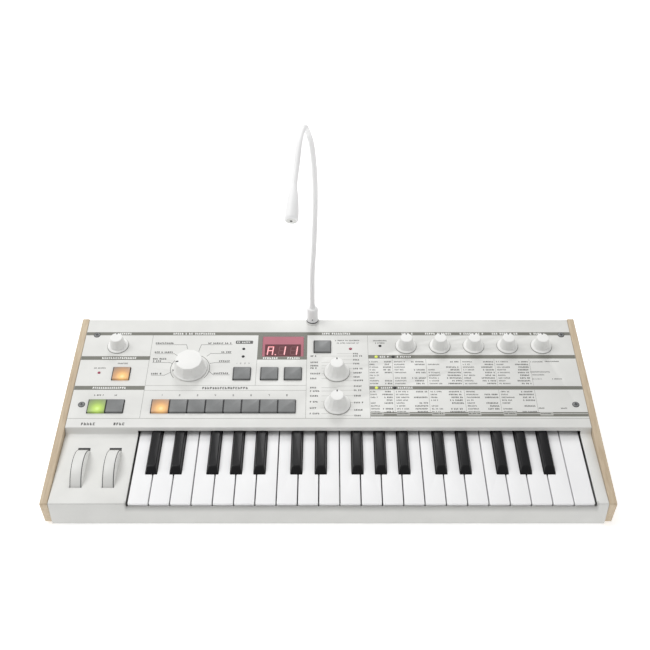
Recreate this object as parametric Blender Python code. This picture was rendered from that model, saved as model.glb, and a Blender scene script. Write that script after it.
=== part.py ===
"""Desktop synthesizer: 37 short keys, two wheels, a panel of knobs and buttons, a gooseneck microphone.

The model is in metres with +Z up and the keys towards -Y. Its origin is on the surface that the feet
stand on, under the middle of the instrument. All sizes below are in millimetres and are turned into
metres where a mesh is made. Three frames are used, each with X across the instrument:
  BODY   (x, distance back from the front edge, height above the feet)
  PANEL  (x, distance up the sloping panel from the front edge, height above the panel's face)
  KEYS   (x, distance back from the front of the white keys, height above their tops)
"""
import math

import bmesh
import bpy
from mathutils import Matrix, Vector

MM = 0.001

# --- Driving dimensions ---------------------------------------------------------------------------
WIDTH = 524.0                # across both side panels
SIDE_DEPTH = 232.0           # side panels, front to back
SIDE_THICKNESS = 7.0
SIDE_FRONT_HEIGHT = 28.4
SIDE_REAR_HEIGHT = 61.0
SIDE_LEAN = 3.7              # how far the foot of the side panel's front edge is set back
FOOT_HEIGHT = 2.0            # from the table to the side panels
FOOT_RADIUS = 9.0

WALL = 2.2                   # case wall
FLOOR_GAP = 1.0              # case underside above the side panels' underside
FLOOR_THICKNESS = 2.5
CASE_FRONT = 0.8             # case front face behind the side panels' front edge
CASE_REAR = SIDE_DEPTH - CASE_FRONT
JACK_REACH = 5.8             # how far the jacks stand out at the back
OVERALL_DEPTH = CASE_REAR + JACK_REACH
PANEL_INSET = 0.5            # panel face below the side panels' top edge
DECK_FRONT_HEIGHT = 30.0     # lower deck, at its front edge
DECK_REAR = 84.3             # where the lower deck meets the step
DECK_REAR_HEIGHT = 35.5
STEP_TOP = 87.2              # front edge of the control panel

WHITE_KEYS = 22
WHITE_PITCH = 19.4
KEYS_LEFT = -183.4           # left edge of the lowest key
KEY_FRONT = 3.0              # front of the white keys, from the front edge
KEY_DROP = 2.3               # white keys' tops below the lower deck
KEY_GAP = 1.0                # between two white keys
KEY_BODY_LENGTH = 90.0
KEY_LENGTH = 100.0
KEY_DEPTH = 9.0              # height of a white key's side walls
KEY_WALL = 1.3
KEY_PLATE = 1.8              # thickness of a key's top
BLACK_WIDTH = 11.0
BLACK_TOP_WIDTH = 7.3
BLACK_FRONT = 34.6
BLACK_TOP_FRONT = 41.1
BLACK_RISE = 4.8
BLACK_CLEARANCE = 0.5        # between a black key and its white neighbours
TONGUE_WIDTH = 5.0
KEY_TRAVEL = 3.4             # at the front of a white key
OPENING_CLEARANCE = 0.9      # key opening beyond the outer keys

PIVOT = (95.5, -5.5)         # pivot bar in the KEYS frame
PIVOT_RADIUS = 1.5
PIVOT_CLEARANCE = 0.35

WHEEL_RADIUS = 27.5
WHEEL_WIDTH = 10.4
WHEEL_CENTRE = (43.4, 16.4)  # axle, in the BODY frame
WHEEL_SPAN = math.radians(84)
WHEEL_HUB = 7.0
WHEEL_GAP = 0.6
AXLE_RADIUS = 2.5
AXLE_CLEARANCE = 0.35
WHEEL_X = {"pitch_wheel": -232.9, "mod_wheel": -203.0}

BUTTON_WIDTH = 17.4
BUTTON_PITCH = 17.8
BUTTON_LENGTH = 16.2
BUTTON_RISE = 2.0
BUTTON_TRAVEL = 1.0
BUTTON_GAP = 0.4
FLANGE = 0.8                 # how far a button's flange reaches under the panel
CARRIER_THICKNESS = 1.2
PLUNGER_END = -7.4           # height of a button's plunger tip, below the panel's face

SHAFT_RADIUS = 3.0
SHAFT_TOP = 8.0
SHAFT_CLEARANCE = 0.35

BOARD_TOP = -9.4
BOARD_THICKNESS = 1.6
BOARD_HALF_WIDTH = WIDTH / 2 - 13.0
BOARD_SPAN = (104.5, SIDE_DEPTH - 16.0)
SWITCH_HEIGHT = 0.6
POT_SIZE = 10.0
POT_HEIGHT = 6.6

CLEARANCE = 0.3              # between pieces that touch on the real instrument
HIDDEN_END = WIDTH / 2 - SIDE_THICKNESS - CLEARANCE   # half width of the case

# Knobs: name, x, distance up the panel, kind
KNOBS = [
    ("volume_knob", -218.9, 194.8, "small"),
    ("program_dial", -141.0, 163.4, "dial"),
    ("edit_select_knob_1", 8.7, 158.5, "edit"),
    ("edit_select_knob_2", 8.7, 116.4, "edit"),
] + [("control_knob_%d" % (i + 1), 80.7 + 35.2 * i, 194.5, "small") for i in range(5)]
# Kinds: skirt radius, skirt thickness, body radius at the skirt, body radius at the top, height
KNOB_SIZES = {
    "small": (10.7, 1.0, 8.2, 6.3, 13.0),
    "edit": (12.85, 1.4, 10.9, 6.75, 15.0),
    "dial": (17.5, 1.6, 16.2, 13.75, 14.0),
}

# Buttons that share one carrier: name, list of (x, distance up the panel) cap centres
LOWER_ROW = 113.8
MIDDLE_ROW = 156.2
UPPER_ROW = 193.1
PROGRAM_LEFT = -165.8
BUTTONS = [
    ("arpeggiator_button", [(-210.2, MIDDLE_ROW)]),
    ("octave_buttons", [(-228.2, LOWER_ROW), (-228.2 + BUTTON_PITCH, LOWER_ROW)]),
    ("program_buttons", [(PROGRAM_LEFT + BUTTON_PITCH * i, LOWER_ROW) for i in range(8)]),
    ("function_buttons", [(-87.8, MIDDLE_ROW), (-60.0, MIDDLE_ROW), (-36.0, MIDDLE_ROW), (-6.2, UPPER_ROW)]),
]

DISPLAY = (-68.6, -25.5, 179.9, 208.1)      # x range and panel distance range of the display window
DISPLAY_RECESS = 0.6
SCREWS = [(x, v) for x in (18.5 - WIDTH / 2, WIDTH / 2 - 17.5) for v in (116.3, SIDE_DEPTH - 22.0)]
FEET = [(x, d) for x in (34.0 - WIDTH / 2, WIDTH / 2 - 34.0) for d in (24.0, SIDE_DEPTH - 28.0)]

# Sockets at the back: x, height, kind
SOCKETS = [
    (205.0, 42.0, "power"), (150.0, 42.0, "data"), (126.0, 42.0, "data"),
    (-82.0, 42.0, "jack"), (-122.0, 42.0, "jack"), (-144.0, 42.0, "jack"), (-176.0, 42.0, "jack"),
]
# Kinds: outer radius, bore radius, bore depth, how far the barrel stands out at the back
SOCKET_SIZES = {
    "power": (5.2, 3.3, 9.0, 2.5),
    "data": (8.6, 6.8, 9.0, 2.5),
    "jack": (5.2, 3.4, 24.0, JACK_REACH),
}
SOCKET_BODY = 27.0           # length of the block behind a socket

MIC_X = -16.8
MIC_SOCKET = CASE_REAR - 2.7  # distance back from the front edge
MIC_BOSS_RADIUS = 7.2
MIC_BOSS_DEPTH = 17.0
MIC_PLUG_RADIUS = 5.9
MIC_PLUG_HEIGHT = 17.0
MIC_PIN_RADIUS = 2.4
MIC_PIN_LENGTH = 12.0
MIC_STEM_RADIUS = 2.5
MIC_HEAD_LENGTH = 35.0
MIC_HEAD_RADIUS = 6.2
# Route of the gooseneck from the middle of its socket: (x, distance back, height)
MIC_ROUTE = [
    (0.0, 0.0, 0.0), (0.0, 0.0, 30.0), (0.3, 0.0, 60.0), (2.0, 0.0, 90.0), (3.3, 0.0, 120.0),
    (4.1, 0.0, 150.0), (3.6, 0.0, 180.0), (1.3, -0.3, 208.0), (-1.6, -4.0, 222.0), (-3.6, -12.5, 232.2),
    (-5.2, -25.5, 238.8), (-7.0, -40.0, 241.2), (-8.6, -54.5, 238.9), (-9.8, -68.5, 233.2),
    (-11.1, -81.6, 226.8), (-12.4, -94.8, 219.8), (-14.4, -124.3, 203.7),
]
MIC_JOINT_SHARE = 0.5        # where along the gooseneck its two halves meet
# Both halves come to a blunt point at the joint: (distance from the joint, radius)
MIC_TIP = [(0.15, 0.35), (0.8, 1.6), (2.0, 2.25), (3.5, MIC_STEM_RADIUS)]


# --- Frames ---------------------------------------------------------------------------------------
def frame(origin, tilt):
    """A frame whose origin is a BODY point and whose Y and Z are turned up by tilt about X."""
    place = Vector((origin[0], origin[1] - OVERALL_DEPTH / 2, origin[2])) * MM
    return Matrix.Translation(place) @ Matrix.Rotation(tilt, 4, "X")


PANEL_SLOPE = math.atan2(SIDE_REAR_HEIGHT - SIDE_FRONT_HEIGHT, SIDE_DEPTH)
PANEL_BASE = FOOT_HEIGHT + SIDE_FRONT_HEIGHT - PANEL_INSET / math.cos(PANEL_SLOPE)
BODY = frame((0, 0, 0), 0.0)
PANEL = frame((0, 0, PANEL_BASE), PANEL_SLOPE)
DECK_RISE = (DECK_REAR_HEIGHT - DECK_FRONT_HEIGHT) / (DECK_REAR - CASE_FRONT)
KEY_FRONT_HEIGHT = DECK_FRONT_HEIGHT + DECK_RISE * (KEY_FRONT - CASE_FRONT) - KEY_DROP
KEYS = frame((0, KEY_FRONT, KEY_FRONT_HEIGHT), math.atan(DECK_RISE))
CASE_BASE = FOOT_HEIGHT + FLOOR_GAP


def panel_height(distance):
    """Height of the panel's face at a distance back from the front edge, both in the BODY frame."""
    return PANEL_BASE + math.tan(PANEL_SLOPE) * distance


# --- Meshes ---------------------------------------------------------------------------------------
def finish(name, colour, roughness, metallic=0.0):
    """A Principled material."""
    material = bpy.data.materials.new(name)
    material.use_nodes = True
    shader = material.node_tree.nodes["Principled BSDF"]
    shader.inputs["Base Color"].default_value = (*colour, 1.0)
    shader.inputs["Roughness"].default_value = roughness
    shader.inputs["Metallic"].default_value = metallic
    return material


def new_object(name, points, faces, matrix):
    """An object from points in millimetres, placed by matrix, with its faces turned outwards."""
    mesh = bpy.data.meshes.new(name)
    mesh.from_pydata([Vector(p) * MM for p in points], [], faces)
    shell = bmesh.new()
    shell.from_mesh(mesh)
    bmesh.ops.recalc_face_normals(shell, faces=shell.faces)
    shell.to_mesh(mesh)
    shell.free()
    made = bpy.data.objects.new(name, mesh)
    made.matrix_world = matrix
    bpy.context.scene.collection.objects.link(made)
    return made


def rings(name, loops, matrix):
    """A closed solid through loops of equally many points, with a flat cap at each end."""
    count = len(loops[0])
    points = [p for loop in loops for p in loop]
    faces = [list(range(count))[::-1], list(range(len(points) - count, len(points)))]
    for k in range(len(loops) - 1):
        low, high = k * count, (k + 1) * count
        for i in range(count):
            j = (i + 1) % count
            faces.append([low + i, low + j, high + j, high + i])
    return new_object(name, points, faces, matrix)


def across(name, outline, x_low, x_high, matrix):
    """A prism along X: outline holds (distance, height) points."""
    return rings(name, [[(x, d, z) for d, z in outline] for x in (x_low, x_high)], matrix)


def upright(name, outline, low, high, matrix):
    """A prism along the frame's Z: outline holds (x, distance) points."""
    return rings(name, [[(x, d, z) for x, d in outline] for z in (low, high)], matrix)


def box(name, low, high, matrix):
    outline = [(low[0], low[1]), (high[0], low[1]), (high[0], high[1]), (low[0], high[1])]
    return upright(name, outline, low[2], high[2], matrix)


def circle(centre, radius, sides):
    steps = [2 * math.pi * (i + 0.5) / sides for i in range(sides)]
    return [(centre[0] + radius * math.cos(a), centre[1] + radius * math.sin(a)) for a in steps]


def turned(name, centre, profile, matrix, sides=20):
    """A solid turned about the frame's Z at centre: profile holds (radius, height) points."""
    loops = [[(x, y, z) for x, y in circle(centre, radius, sides)] for radius, z in profile]
    return rings(name, loops, matrix)


def rounded(outline, radii, steps=4):
    """The closed outline with arcs in place of the corners that radii names by index."""
    result = []
    for i, corner in enumerate(outline):
        corner = Vector(corner)
        if i not in radii:
            result.append(tuple(corner))
            continue
        before = (Vector(outline[i - 1]) - corner).normalized()
        after = (Vector(outline[(i + 1) % len(outline)]) - corner).normalized()
        half = before.angle(after) / 2
        centre = corner + (before + after).normalized() * radii[i] / math.sin(half)
        start = corner + before * radii[i] / math.tan(half) - centre
        turn = start.angle_signed(corner + after * radii[i] / math.tan(half) - centre)
        for k in range(steps + 1):
            arm = start.copy()
            arm.rotate(Matrix.Rotation(-turn * k / steps, 2))
            result.append(tuple(centre + arm))
    return result


def offset_path(path, distance):
    """An open path of (distance, height) points moved sideways, to the right of its direction."""
    lines = []
    for start, end in zip(path, path[1:]):
        start, end = Vector(start), Vector(end)
        along = (end - start).normalized()
        side = Vector((along.y, -along.x)) * distance
        lines.append((start + side, end + side))
    moved = [tuple(lines[0][0])]
    for (a, b), (c, d) in zip(lines, lines[1:]):
        u, v, w = b - a, d - c, c - a
        t = (w.x * v.y - w.y * v.x) / (u.x * v.y - u.y * v.x)
        moved.append(tuple(a + u * t))
    moved.append(tuple(lines[-1][1]))
    return moved


def combine(target, tool, operation):
    """Applies one exact Boolean to target and removes the tool."""
    modifier = target.modifiers.new("shape", "BOOLEAN")
    modifier.solver = "EXACT"
    modifier.operation = operation
    modifier.object = tool
    bpy.context.view_layer.update()
    result = bpy.data.meshes.new_from_object(target.evaluated_get(bpy.context.evaluated_depsgraph_get()))
    target.modifiers.remove(modifier)
    target.data = result
    bpy.data.objects.remove(tool)


def merge(target, *tools):
    for tool in tools:
        combine(target, tool, "UNION")


def cut(target, *tools):
    for tool in tools:
        combine(target, tool, "DIFFERENCE")


def set_origin(piece, home):
    """Moves a piece's origin to the frame home without moving its shape."""
    piece.data.transform(home.inverted() @ piece.matrix_world)
    piece.matrix_world = home


def done(piece, material, smooth=False):
    """Gives a finished piece its material, and smooth shading with sharp edges kept."""
    piece.data.materials.clear()
    piece.data.materials.append(material)
    if smooth:
        piece.data.shade_smooth()
        piece.data.set_sharp_from_angle(angle=math.radians(35))


# --- Case -----------------------------------------------------------------------------------------
CASE_PATH = [
    (CASE_FRONT, CASE_BASE),
    (CASE_FRONT, DECK_FRONT_HEIGHT),
    (DECK_REAR, DECK_REAR_HEIGHT),
    (STEP_TOP, panel_height(STEP_TOP)),
    (CASE_REAR, panel_height(CASE_REAR)),
    (CASE_REAR, CASE_BASE + FLOOR_THICKNESS + CLEARANCE),
]
KEYS_RIGHT = KEYS_LEFT + WHITE_KEYS * WHITE_PITCH
OPENING = (KEYS_LEFT - OPENING_CLEARANCE, KEYS_RIGHT + OPENING_CLEARANCE)
NOTCH_HEIGHT = 20.4          # where the front face starts to curve back below the keys
RAIL_TOP = 25.2
RAIL_REAR = KEY_FRONT - 0.4
RAIL_TOP_THICKNESS = 0.8
RAIL_FOOT = KEY_FRONT_HEIGHT - KEY_DEPTH - KEY_TRAVEL - 1.0
BLACK_TOP = KEY_FRONT_HEIGHT + DECK_RISE * (DECK_REAR - KEY_FRONT) + BLACK_RISE   # at the step


def make_side_panel(name, x_low, material):
    base = FOOT_HEIGHT
    outline = [
        (SIDE_LEAN, base), (0.0, base + SIDE_FRONT_HEIGHT),
        (SIDE_DEPTH, base + SIDE_REAR_HEIGHT), (SIDE_DEPTH, base),
    ]
    outline = rounded(outline, {0: 1.5, 1: 2.0, 2: 2.0, 3: 2.0})
    done(across(name, outline, x_low, x_low + SIDE_THICKNESS, BODY), material)


def panel_window(low_x, high_x, low, high):
    """A cutter through the panel over a rectangle in the PANEL frame."""
    return box("window", (low_x, low, -3 * WALL), (high_x, high, 3 * WALL), PANEL)


def touching(caps):
    """The first and last cap of each run of caps that touch and so share one window."""
    runs = [[caps[0]]]
    for cap in caps[1:]:
        if abs(cap[0] - runs[-1][-1][0] - BUTTON_PITCH) < CLEARANCE:
            runs[-1].append(cap)
        else:
            runs.append([cap])
    return [(run[0], run[-1]) for run in runs]


def make_top_case(material):
    outer = rounded(CASE_PATH, {1: 1.2, 3: 0.8, 4: 1.5})
    inner = offset_path(CASE_PATH, WALL)
    shell = across("top_case", outer + inner[::-1], -HIDDEN_END, HIDDEN_END, BODY)

    # The keys' opening, through the deck, the step's foot and the top of the front face. The front
    # face curves back to a thin edge below the keys, and their fronts move down behind it.
    reach = RAIL_REAR - RAIL_TOP_THICKNESS - CASE_FRONT
    cove = [(CASE_FRONT + reach * (1 - math.cos(a)), NOTCH_HEIGHT + (RAIL_TOP - NOTCH_HEIGHT) * math.sin(a))
            for a in (math.pi / 2 * k / 6 for k in range(7))]
    opening = [(-5, NOTCH_HEIGHT)] + cove + [
        (RAIL_REAR, RAIL_TOP), (RAIL_REAR, RAIL_FOOT), (95, RAIL_FOOT), (95, BLACK_TOP + 0.8),
        (80, BLACK_TOP + 0.8), (80, 60), (-5, 60),
    ]
    cut(shell, across("cut", opening, OPENING[0], OPENING[1], BODY))
    lining_rear = DECK_REAR - 4.0
    for edge in (OPENING[0] - WALL, OPENING[1]):
        lining = [
            (CASE_FRONT + WALL / 2, RAIL_FOOT), (CASE_FRONT + WALL / 2, DECK_FRONT_HEIGHT - WALL / 2),
            (lining_rear, DECK_REAR_HEIGHT - WALL / 2), (lining_rear, RAIL_FOOT),
        ]
        merge(shell, across("lining", lining, edge, edge + WALL, BODY))

    # Microphone socket boss at the rear edge, and posts that carry the board
    boss_top = panel_height(MIC_SOCKET) + 0.6
    merge(shell, turned("boss", (MIC_X, MIC_SOCKET),
                        [(MIC_BOSS_RADIUS, boss_top - MIC_BOSS_DEPTH), (MIC_BOSS_RADIUS, boss_top)], BODY))
    cut(shell, turned("bore", (MIC_X, MIC_SOCKET),
                      [(MIC_PIN_RADIUS + CLEARANCE, boss_top - MIC_PIN_LENGTH - 1.0),
                       (MIC_PIN_RADIUS + CLEARANCE, boss_top + 1.0)], BODY, sides=12))
    for x, v in SCREWS:
        post = [(3.4, BOARD_TOP + CLEARANCE), (3.4, -WALL / 2)]
        merge(shell, turned("post", (x, v), post, PANEL, sides=12))

    # Windows for the buttons and the display, and holes for the shafts
    reach_x, reach_v = BUTTON_WIDTH / 2 + BUTTON_GAP, BUTTON_LENGTH / 2 + BUTTON_GAP
    for name, caps in BUTTONS:
        for first, last in touching(caps):
            window = (first[0] - reach_x, last[0] + reach_x, first[1] - reach_v, first[1] + reach_v)
            cut(shell, panel_window(*window))
    cut(shell, panel_window(*DISPLAY))
    for name, x, v, kind in KNOBS:
        hole = SHAFT_RADIUS + SHAFT_CLEARANCE
        cut(shell, turned("hole", (x, v), [(hole, -3 * WALL), (hole, 3 * WALL)], PANEL, sides=12))

    # Slots that follow the two wheels
    for x in WHEEL_X.values():
        half = WHEEL_WIDTH / 2 + WHEEL_GAP
        slot = circle(WHEEL_CENTRE, WHEEL_RADIUS + WHEEL_GAP, 48)
        slot = [p for p in slot if p[1] > WHEEL_CENTRE[1]]
        cut(shell, across("slot", slot, x - half, x + half, BODY))

    # Holes for the sockets in the rear wall
    for x, z, kind in SOCKETS:
        hole = SOCKET_SIZES[kind][0] + CLEARANCE
        ring = circle((x, z), hole, 16)
        loops = [[(a, d, b) for a, b in ring] for d in (CASE_REAR - 2 * WALL, CASE_REAR + 5)]
        cut(shell, rings("hole", loops, BODY))
    done(shell, material)


def make_bottom_case(material):
    floor_top = CASE_BASE + FLOOR_THICKNESS
    front = CASE_FRONT + WALL + CLEARANCE
    tray = box("bottom_case", (-HIDDEN_END, front, CASE_BASE), (HIDDEN_END, CASE_REAR, floor_top), BODY)
    cheek = offset_path(CASE_PATH, WALL + CLEARANCE)
    cheek = [(front, CASE_BASE + 0.5)] + cheek[1:-1] + [(cheek[-1][0], CASE_BASE + 0.5)]
    for low in (-HIDDEN_END, HIDDEN_END - WALL):
        merge(tray, across("cheek", cheek, low, low + WALL, BODY))
    for foot in FEET:
        merge(tray, turned("foot", foot, [(FOOT_RADIUS, 0.0), (FOOT_RADIUS, CASE_BASE + 1.0)], BODY))
    for x in (-150, 0, 200):
        for d in (20, 100):
            post = [(4.0, CASE_BASE + 1.0), (4.0, CHASSIS_BASE - CLEARANCE)]
            merge(tray, turned("post", (x, d), post, BODY, 12))

    # Bracket and axle of the two wheels
    centre_d, centre_z = WHEEL_CENTRE
    left, right = WHEEL_X["pitch_wheel"], WHEEL_X["mod_wheel"]
    ends = (left - WHEEL_WIDTH, (left + right) / 2, right + WHEEL_WIDTH)
    for x in ends:
        low = (x - 1.5, centre_d - 7, CASE_BASE + 1.0)
        merge(tray, box("bracket", low, (x + 1.5, centre_d + 7, centre_z + 5), BODY))
    ring = circle((centre_d, centre_z), AXLE_RADIUS, 12)
    loops = [[(x, a, b) for a, b in ring] for x in (ends[0], ends[-1])]
    merge(tray, rings("axle", loops, BODY))
    done(tray, material)


# --- Keys -----------------------------------------------------------------------------------------
OCTAVE = ["c", "d", "e", "f", "g", "a", "b"]
CHASSIS_BASE = 9.0
CHASSIS_THICKNESS = 1.5


def group_of(white):
    """The run of white keys that shares black keys with this one: its first key and its length."""
    octave, step = divmod(white, 7)
    if white == WHITE_KEYS - 1:
        return white, 1
    return (octave * 7, 3) if step < 3 else (octave * 7 + 3, 4)


def black_centre(white):
    """X of the black key to the right of a white key: the white tails in a group are equally wide."""
    first, count = group_of(white)
    tail = (count * WHITE_PITCH - (count - 1) * BLACK_WIDTH) / count
    place = white - first
    return KEYS_LEFT + first * WHITE_PITCH + (place + 1) * tail + (place + 0.5) * BLACK_WIDTH


def has_black(white):
    """Whether a black key stands between this white key and the next."""
    first, count = group_of(white)
    return white - first < count - 1


def tail_span(white):
    """Low and high X of a white key behind the black keys' fronts."""
    low = KEYS_LEFT + white * WHITE_PITCH + KEY_GAP / 2
    high = low + WHITE_PITCH - KEY_GAP
    if white > 0 and has_black(white - 1):
        low = black_centre(white - 1) + BLACK_WIDTH / 2 + BLACK_CLEARANCE
    if has_black(white):
        high = black_centre(white) - BLACK_WIDTH / 2 - BLACK_CLEARANCE
    return low, high


def pivot_slot():
    """Outline of the open slot in a key's tongue that sits on the pivot bar."""
    reach = PIVOT_RADIUS + PIVOT_CLEARANCE
    arc = [math.pi * k / 8 for k in range(9)]
    top = [(PIVOT[0] + reach * math.cos(a), PIVOT[1] + reach * math.sin(a)) for a in arc]
    return [(PIVOT[0] + reach, -KEY_DEPTH)] + top + [(PIVOT[0] - reach, -KEY_DEPTH)]


def pivot_at(x):
    """The KEYS frame moved along to x on the pivot bar."""
    return KEYS @ Matrix.Translation(Vector((x, PIVOT[0], PIVOT[1])) * MM)


def make_white_key(white, material):
    octave, step = divmod(white, 7)
    name = "white_key_%s%d" % (OCTAVE[step], octave + 3)
    left = KEYS_LEFT + white * WHITE_PITCH + KEY_GAP / 2
    right = left + WHITE_PITCH - KEY_GAP
    low, high = tail_span(white)
    middle = (low + high) / 2
    shoulder = BLACK_FRONT - BLACK_CLEARANCE
    side = [(0, -0.5), (0.15, -0.15), (0.5, 0), (KEY_LENGTH, 0), (KEY_LENGTH, -KEY_DEPTH)]
    side += pivot_slot() + [(0, -KEY_DEPTH)]
    key = across(name, side, left - 1, right + 1, KEYS)
    half = TONGUE_WIDTH / 2
    plan = [(left, -1), (right, -1)]
    plan += [(right, shoulder), (high, shoulder)] if high < right - 0.01 else []
    plan += [(high, KEY_BODY_LENGTH), (middle + half, KEY_BODY_LENGTH), (middle + half, KEY_LENGTH + 1)]
    plan += [(middle - half, KEY_LENGTH + 1), (middle - half, KEY_BODY_LENGTH), (low, KEY_BODY_LENGTH)]
    plan += [(low, shoulder), (left, shoulder)] if low > left + 0.01 else []
    combine(key, upright("plan", plan, -KEY_DEPTH - 1, 1, KEYS), "INTERSECT")
    pocket = [(left + KEY_WALL, KEY_WALL), (right - KEY_WALL, KEY_WALL)]
    if high < right - 0.01:
        pocket += [(right - KEY_WALL, shoulder - KEY_WALL), (high - KEY_WALL, shoulder - KEY_WALL)]
    pocket += [(high - KEY_WALL, KEY_BODY_LENGTH - KEY_WALL), (low + KEY_WALL, KEY_BODY_LENGTH - KEY_WALL)]
    if low > left + 0.01:
        pocket += [(low + KEY_WALL, shoulder - KEY_WALL), (left + KEY_WALL, shoulder - KEY_WALL)]
    cut(key, upright("pocket", pocket, -KEY_DEPTH - 1, -KEY_PLATE, KEYS))
    set_origin(key, pivot_at(middle))
    done(key, material)


def make_black_key(white, material):
    octave, step = divmod(white, 7)
    name = "black_key_%s_sharp%d" % (OCTAVE[step], octave + 3)
    x = black_centre(white)
    base, top = BLACK_WIDTH / 2, BLACK_TOP_WIDTH / 2

    def loop(half, front, z):
        rear = KEY_BODY_LENGTH
        return [(x - half, front, z), (x + half, front, z), (x + half, rear, z), (x - half, rear, z)]

    key = rings(name, [
        loop(base - 0.2, BLACK_FRONT + 0.2, -KEY_DEPTH + 1), loop(base, BLACK_FRONT, 0.0),
        loop(top + 0.3, BLACK_TOP_FRONT - 0.6, BLACK_RISE - 0.3), loop(top, BLACK_TOP_FRONT, BLACK_RISE),
    ], KEYS)
    side = [(KEY_BODY_LENGTH - 2, 0), (KEY_LENGTH, 0), (KEY_LENGTH, -KEY_DEPTH)] + pivot_slot() + [
        (KEY_BODY_LENGTH - 2, -KEY_DEPTH)]
    half = TONGUE_WIDTH / 2
    merge(key, across("tongue", side, x - half, x + half, KEYS))
    cut(key, box("pocket", (x - base + KEY_WALL + 0.2, BLACK_FRONT + KEY_WALL + 0.4, -KEY_DEPTH),
                 (x + base - KEY_WALL - 0.2, KEY_BODY_LENGTH - 2 - KEY_WALL, -KEY_PLATE), KEYS))
    set_origin(key, pivot_at(x))
    done(key, material)


def make_keybed(material):
    plate_top = CHASSIS_BASE + CHASSIS_THICKNESS
    pivot = BODY.inverted() @ (KEYS @ (Vector((0, PIVOT[0], PIVOT[1])) * MM)) / MM
    rear = pivot.y + 8
    bed = box("keybed_chassis", (KEYS_LEFT, 8, CHASSIS_BASE), (KEYS_RIGHT, rear, plate_top), BODY)
    starts = {KEYS_LEFT + group_of(white)[0] * WHITE_PITCH for white in range(WHITE_KEYS)}
    groups = sorted(starts | {KEYS_RIGHT})
    for x in groups:
        low = min(max(x - 1.2, KEYS_LEFT), KEYS_RIGHT - 2.4)
        crest = pivot.z + 2.6
        rib = [(pivot.y - 5, CHASSIS_BASE), (pivot.y - 3.2, crest)]
        rib += [(pivot.y + 3.2, crest), (rear, CHASSIS_BASE)]
        merge(bed, across("rib", rib, low, low + 2.4, BODY))
    ends = (KEYS_LEFT + 0.6, KEYS_RIGHT - 0.6)
    loops = [[(x, pivot.y + a, pivot.z + b) for a, b in circle((0, 0), PIVOT_RADIUS, 12)] for x in ends]
    merge(bed, rings("bar", loops, BODY))
    # Contact strip under the keys and a folded front edge
    low = (KEYS_LEFT + 1, 58, CHASSIS_BASE)
    merge(bed, box("contacts", low, (KEYS_RIGHT - 1, 70, plate_top + 2.0), BODY))
    merge(bed, box("edge", (KEYS_LEFT, 8, CHASSIS_BASE), (KEYS_RIGHT, 9.5, plate_top + 3.0), BODY))
    done(bed, material)


# --- Wheels, knobs and buttons --------------------------------------------------------------------
def make_wheel(name, material):
    """A wheel sector with a hub, bored for the axle."""
    steps = 24
    rim = [WHEEL_SPAN * (1 - 2 * k / steps) for k in range(steps + 1)]
    outline = [(-WHEEL_RADIUS * math.sin(a), WHEEL_RADIUS * math.cos(a)) for a in rim]
    hub_start = math.pi / 2 + math.radians(20)
    hub = [hub_start + (2 * math.pi - 2 * hub_start) * k / 8 for k in range(9)]
    outline += [(WHEEL_HUB * math.sin(a), WHEEL_HUB * math.cos(a)) for a in hub]
    home = frame((WHEEL_X[name], *WHEEL_CENTRE), 0.0)
    wheel = across(name, outline, -WHEEL_WIDTH / 2, WHEEL_WIDTH / 2, home)
    bore = [[(x, a, b) for a, b in circle((0, 0), AXLE_RADIUS + AXLE_CLEARANCE, 12)]
            for x in (-WHEEL_WIDTH, WHEEL_WIDTH)]
    cut(wheel, rings("bore", bore, home))
    done(wheel, material, smooth=True)


def on_panel(x, v):
    return PANEL @ Matrix.Translation(Vector((x, v, 0.0)) * MM)


def make_knob(name, x, v, kind, material):
    skirt, thickness, foot, top, height = KNOB_SIZES[kind]
    bore = SHAFT_RADIUS + SHAFT_CLEARANCE
    profile = [
        (1.0, SHAFT_TOP + CLEARANCE), (bore, SHAFT_TOP + CLEARANCE), (bore, CLEARANCE), (skirt, CLEARANCE),
        (skirt, thickness), (foot, thickness + 0.4), (top, height - 0.5), (top - 0.6, height), (1.0, height),
    ]
    done(turned(name, (0, 0), profile, on_panel(x, v), sides=24), material, smooth=True)


def make_buttons(name, caps, material):
    """Button caps on one carrier under the panel, each with a plunger above its switch."""
    home = on_panel(*caps[0])
    under = -WALL - CLEARANCE
    half_x, half_v = BUTTON_WIDTH / 2, BUTTON_LENGTH / 2
    moved = [(x - caps[0][0], v - caps[0][1]) for x, v in caps]
    low = (min(x for x, v in moved) - half_x - FLANGE, min(v for x, v in moved if v < 1) - half_v - FLANGE)
    high_x = max(x for x, v in moved) + half_x + FLANGE
    carrier = box(name, (*low, under - CARRIER_THICKNESS), (high_x, half_v + FLANGE, under), home)
    for x, v in moved:
        if v > 1:
            merge(carrier, box("arm", (x - half_x - FLANGE, -half_v, under - CARRIER_THICKNESS),
                               (x + half_x + FLANGE, v + half_v + FLANGE, under), home))
        loops = []
        for inset, z in ((0.0, under - 0.5), (0.0, BUTTON_RISE - 0.4), (0.4, BUTTON_RISE)):
            a, b = half_x - inset, half_v - inset
            loops.append([(x - a, v - b, z), (x + a, v - b, z), (x + a, v + b, z), (x - a, v + b, z)])
        merge(carrier, rings("cap", loops, home))
        merge(carrier, box("plunger", (x - 1.5, v - 1.5, PLUNGER_END), (x + 1.5, v + 1.5, under - 0.5), home))
    done(carrier, material)


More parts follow.
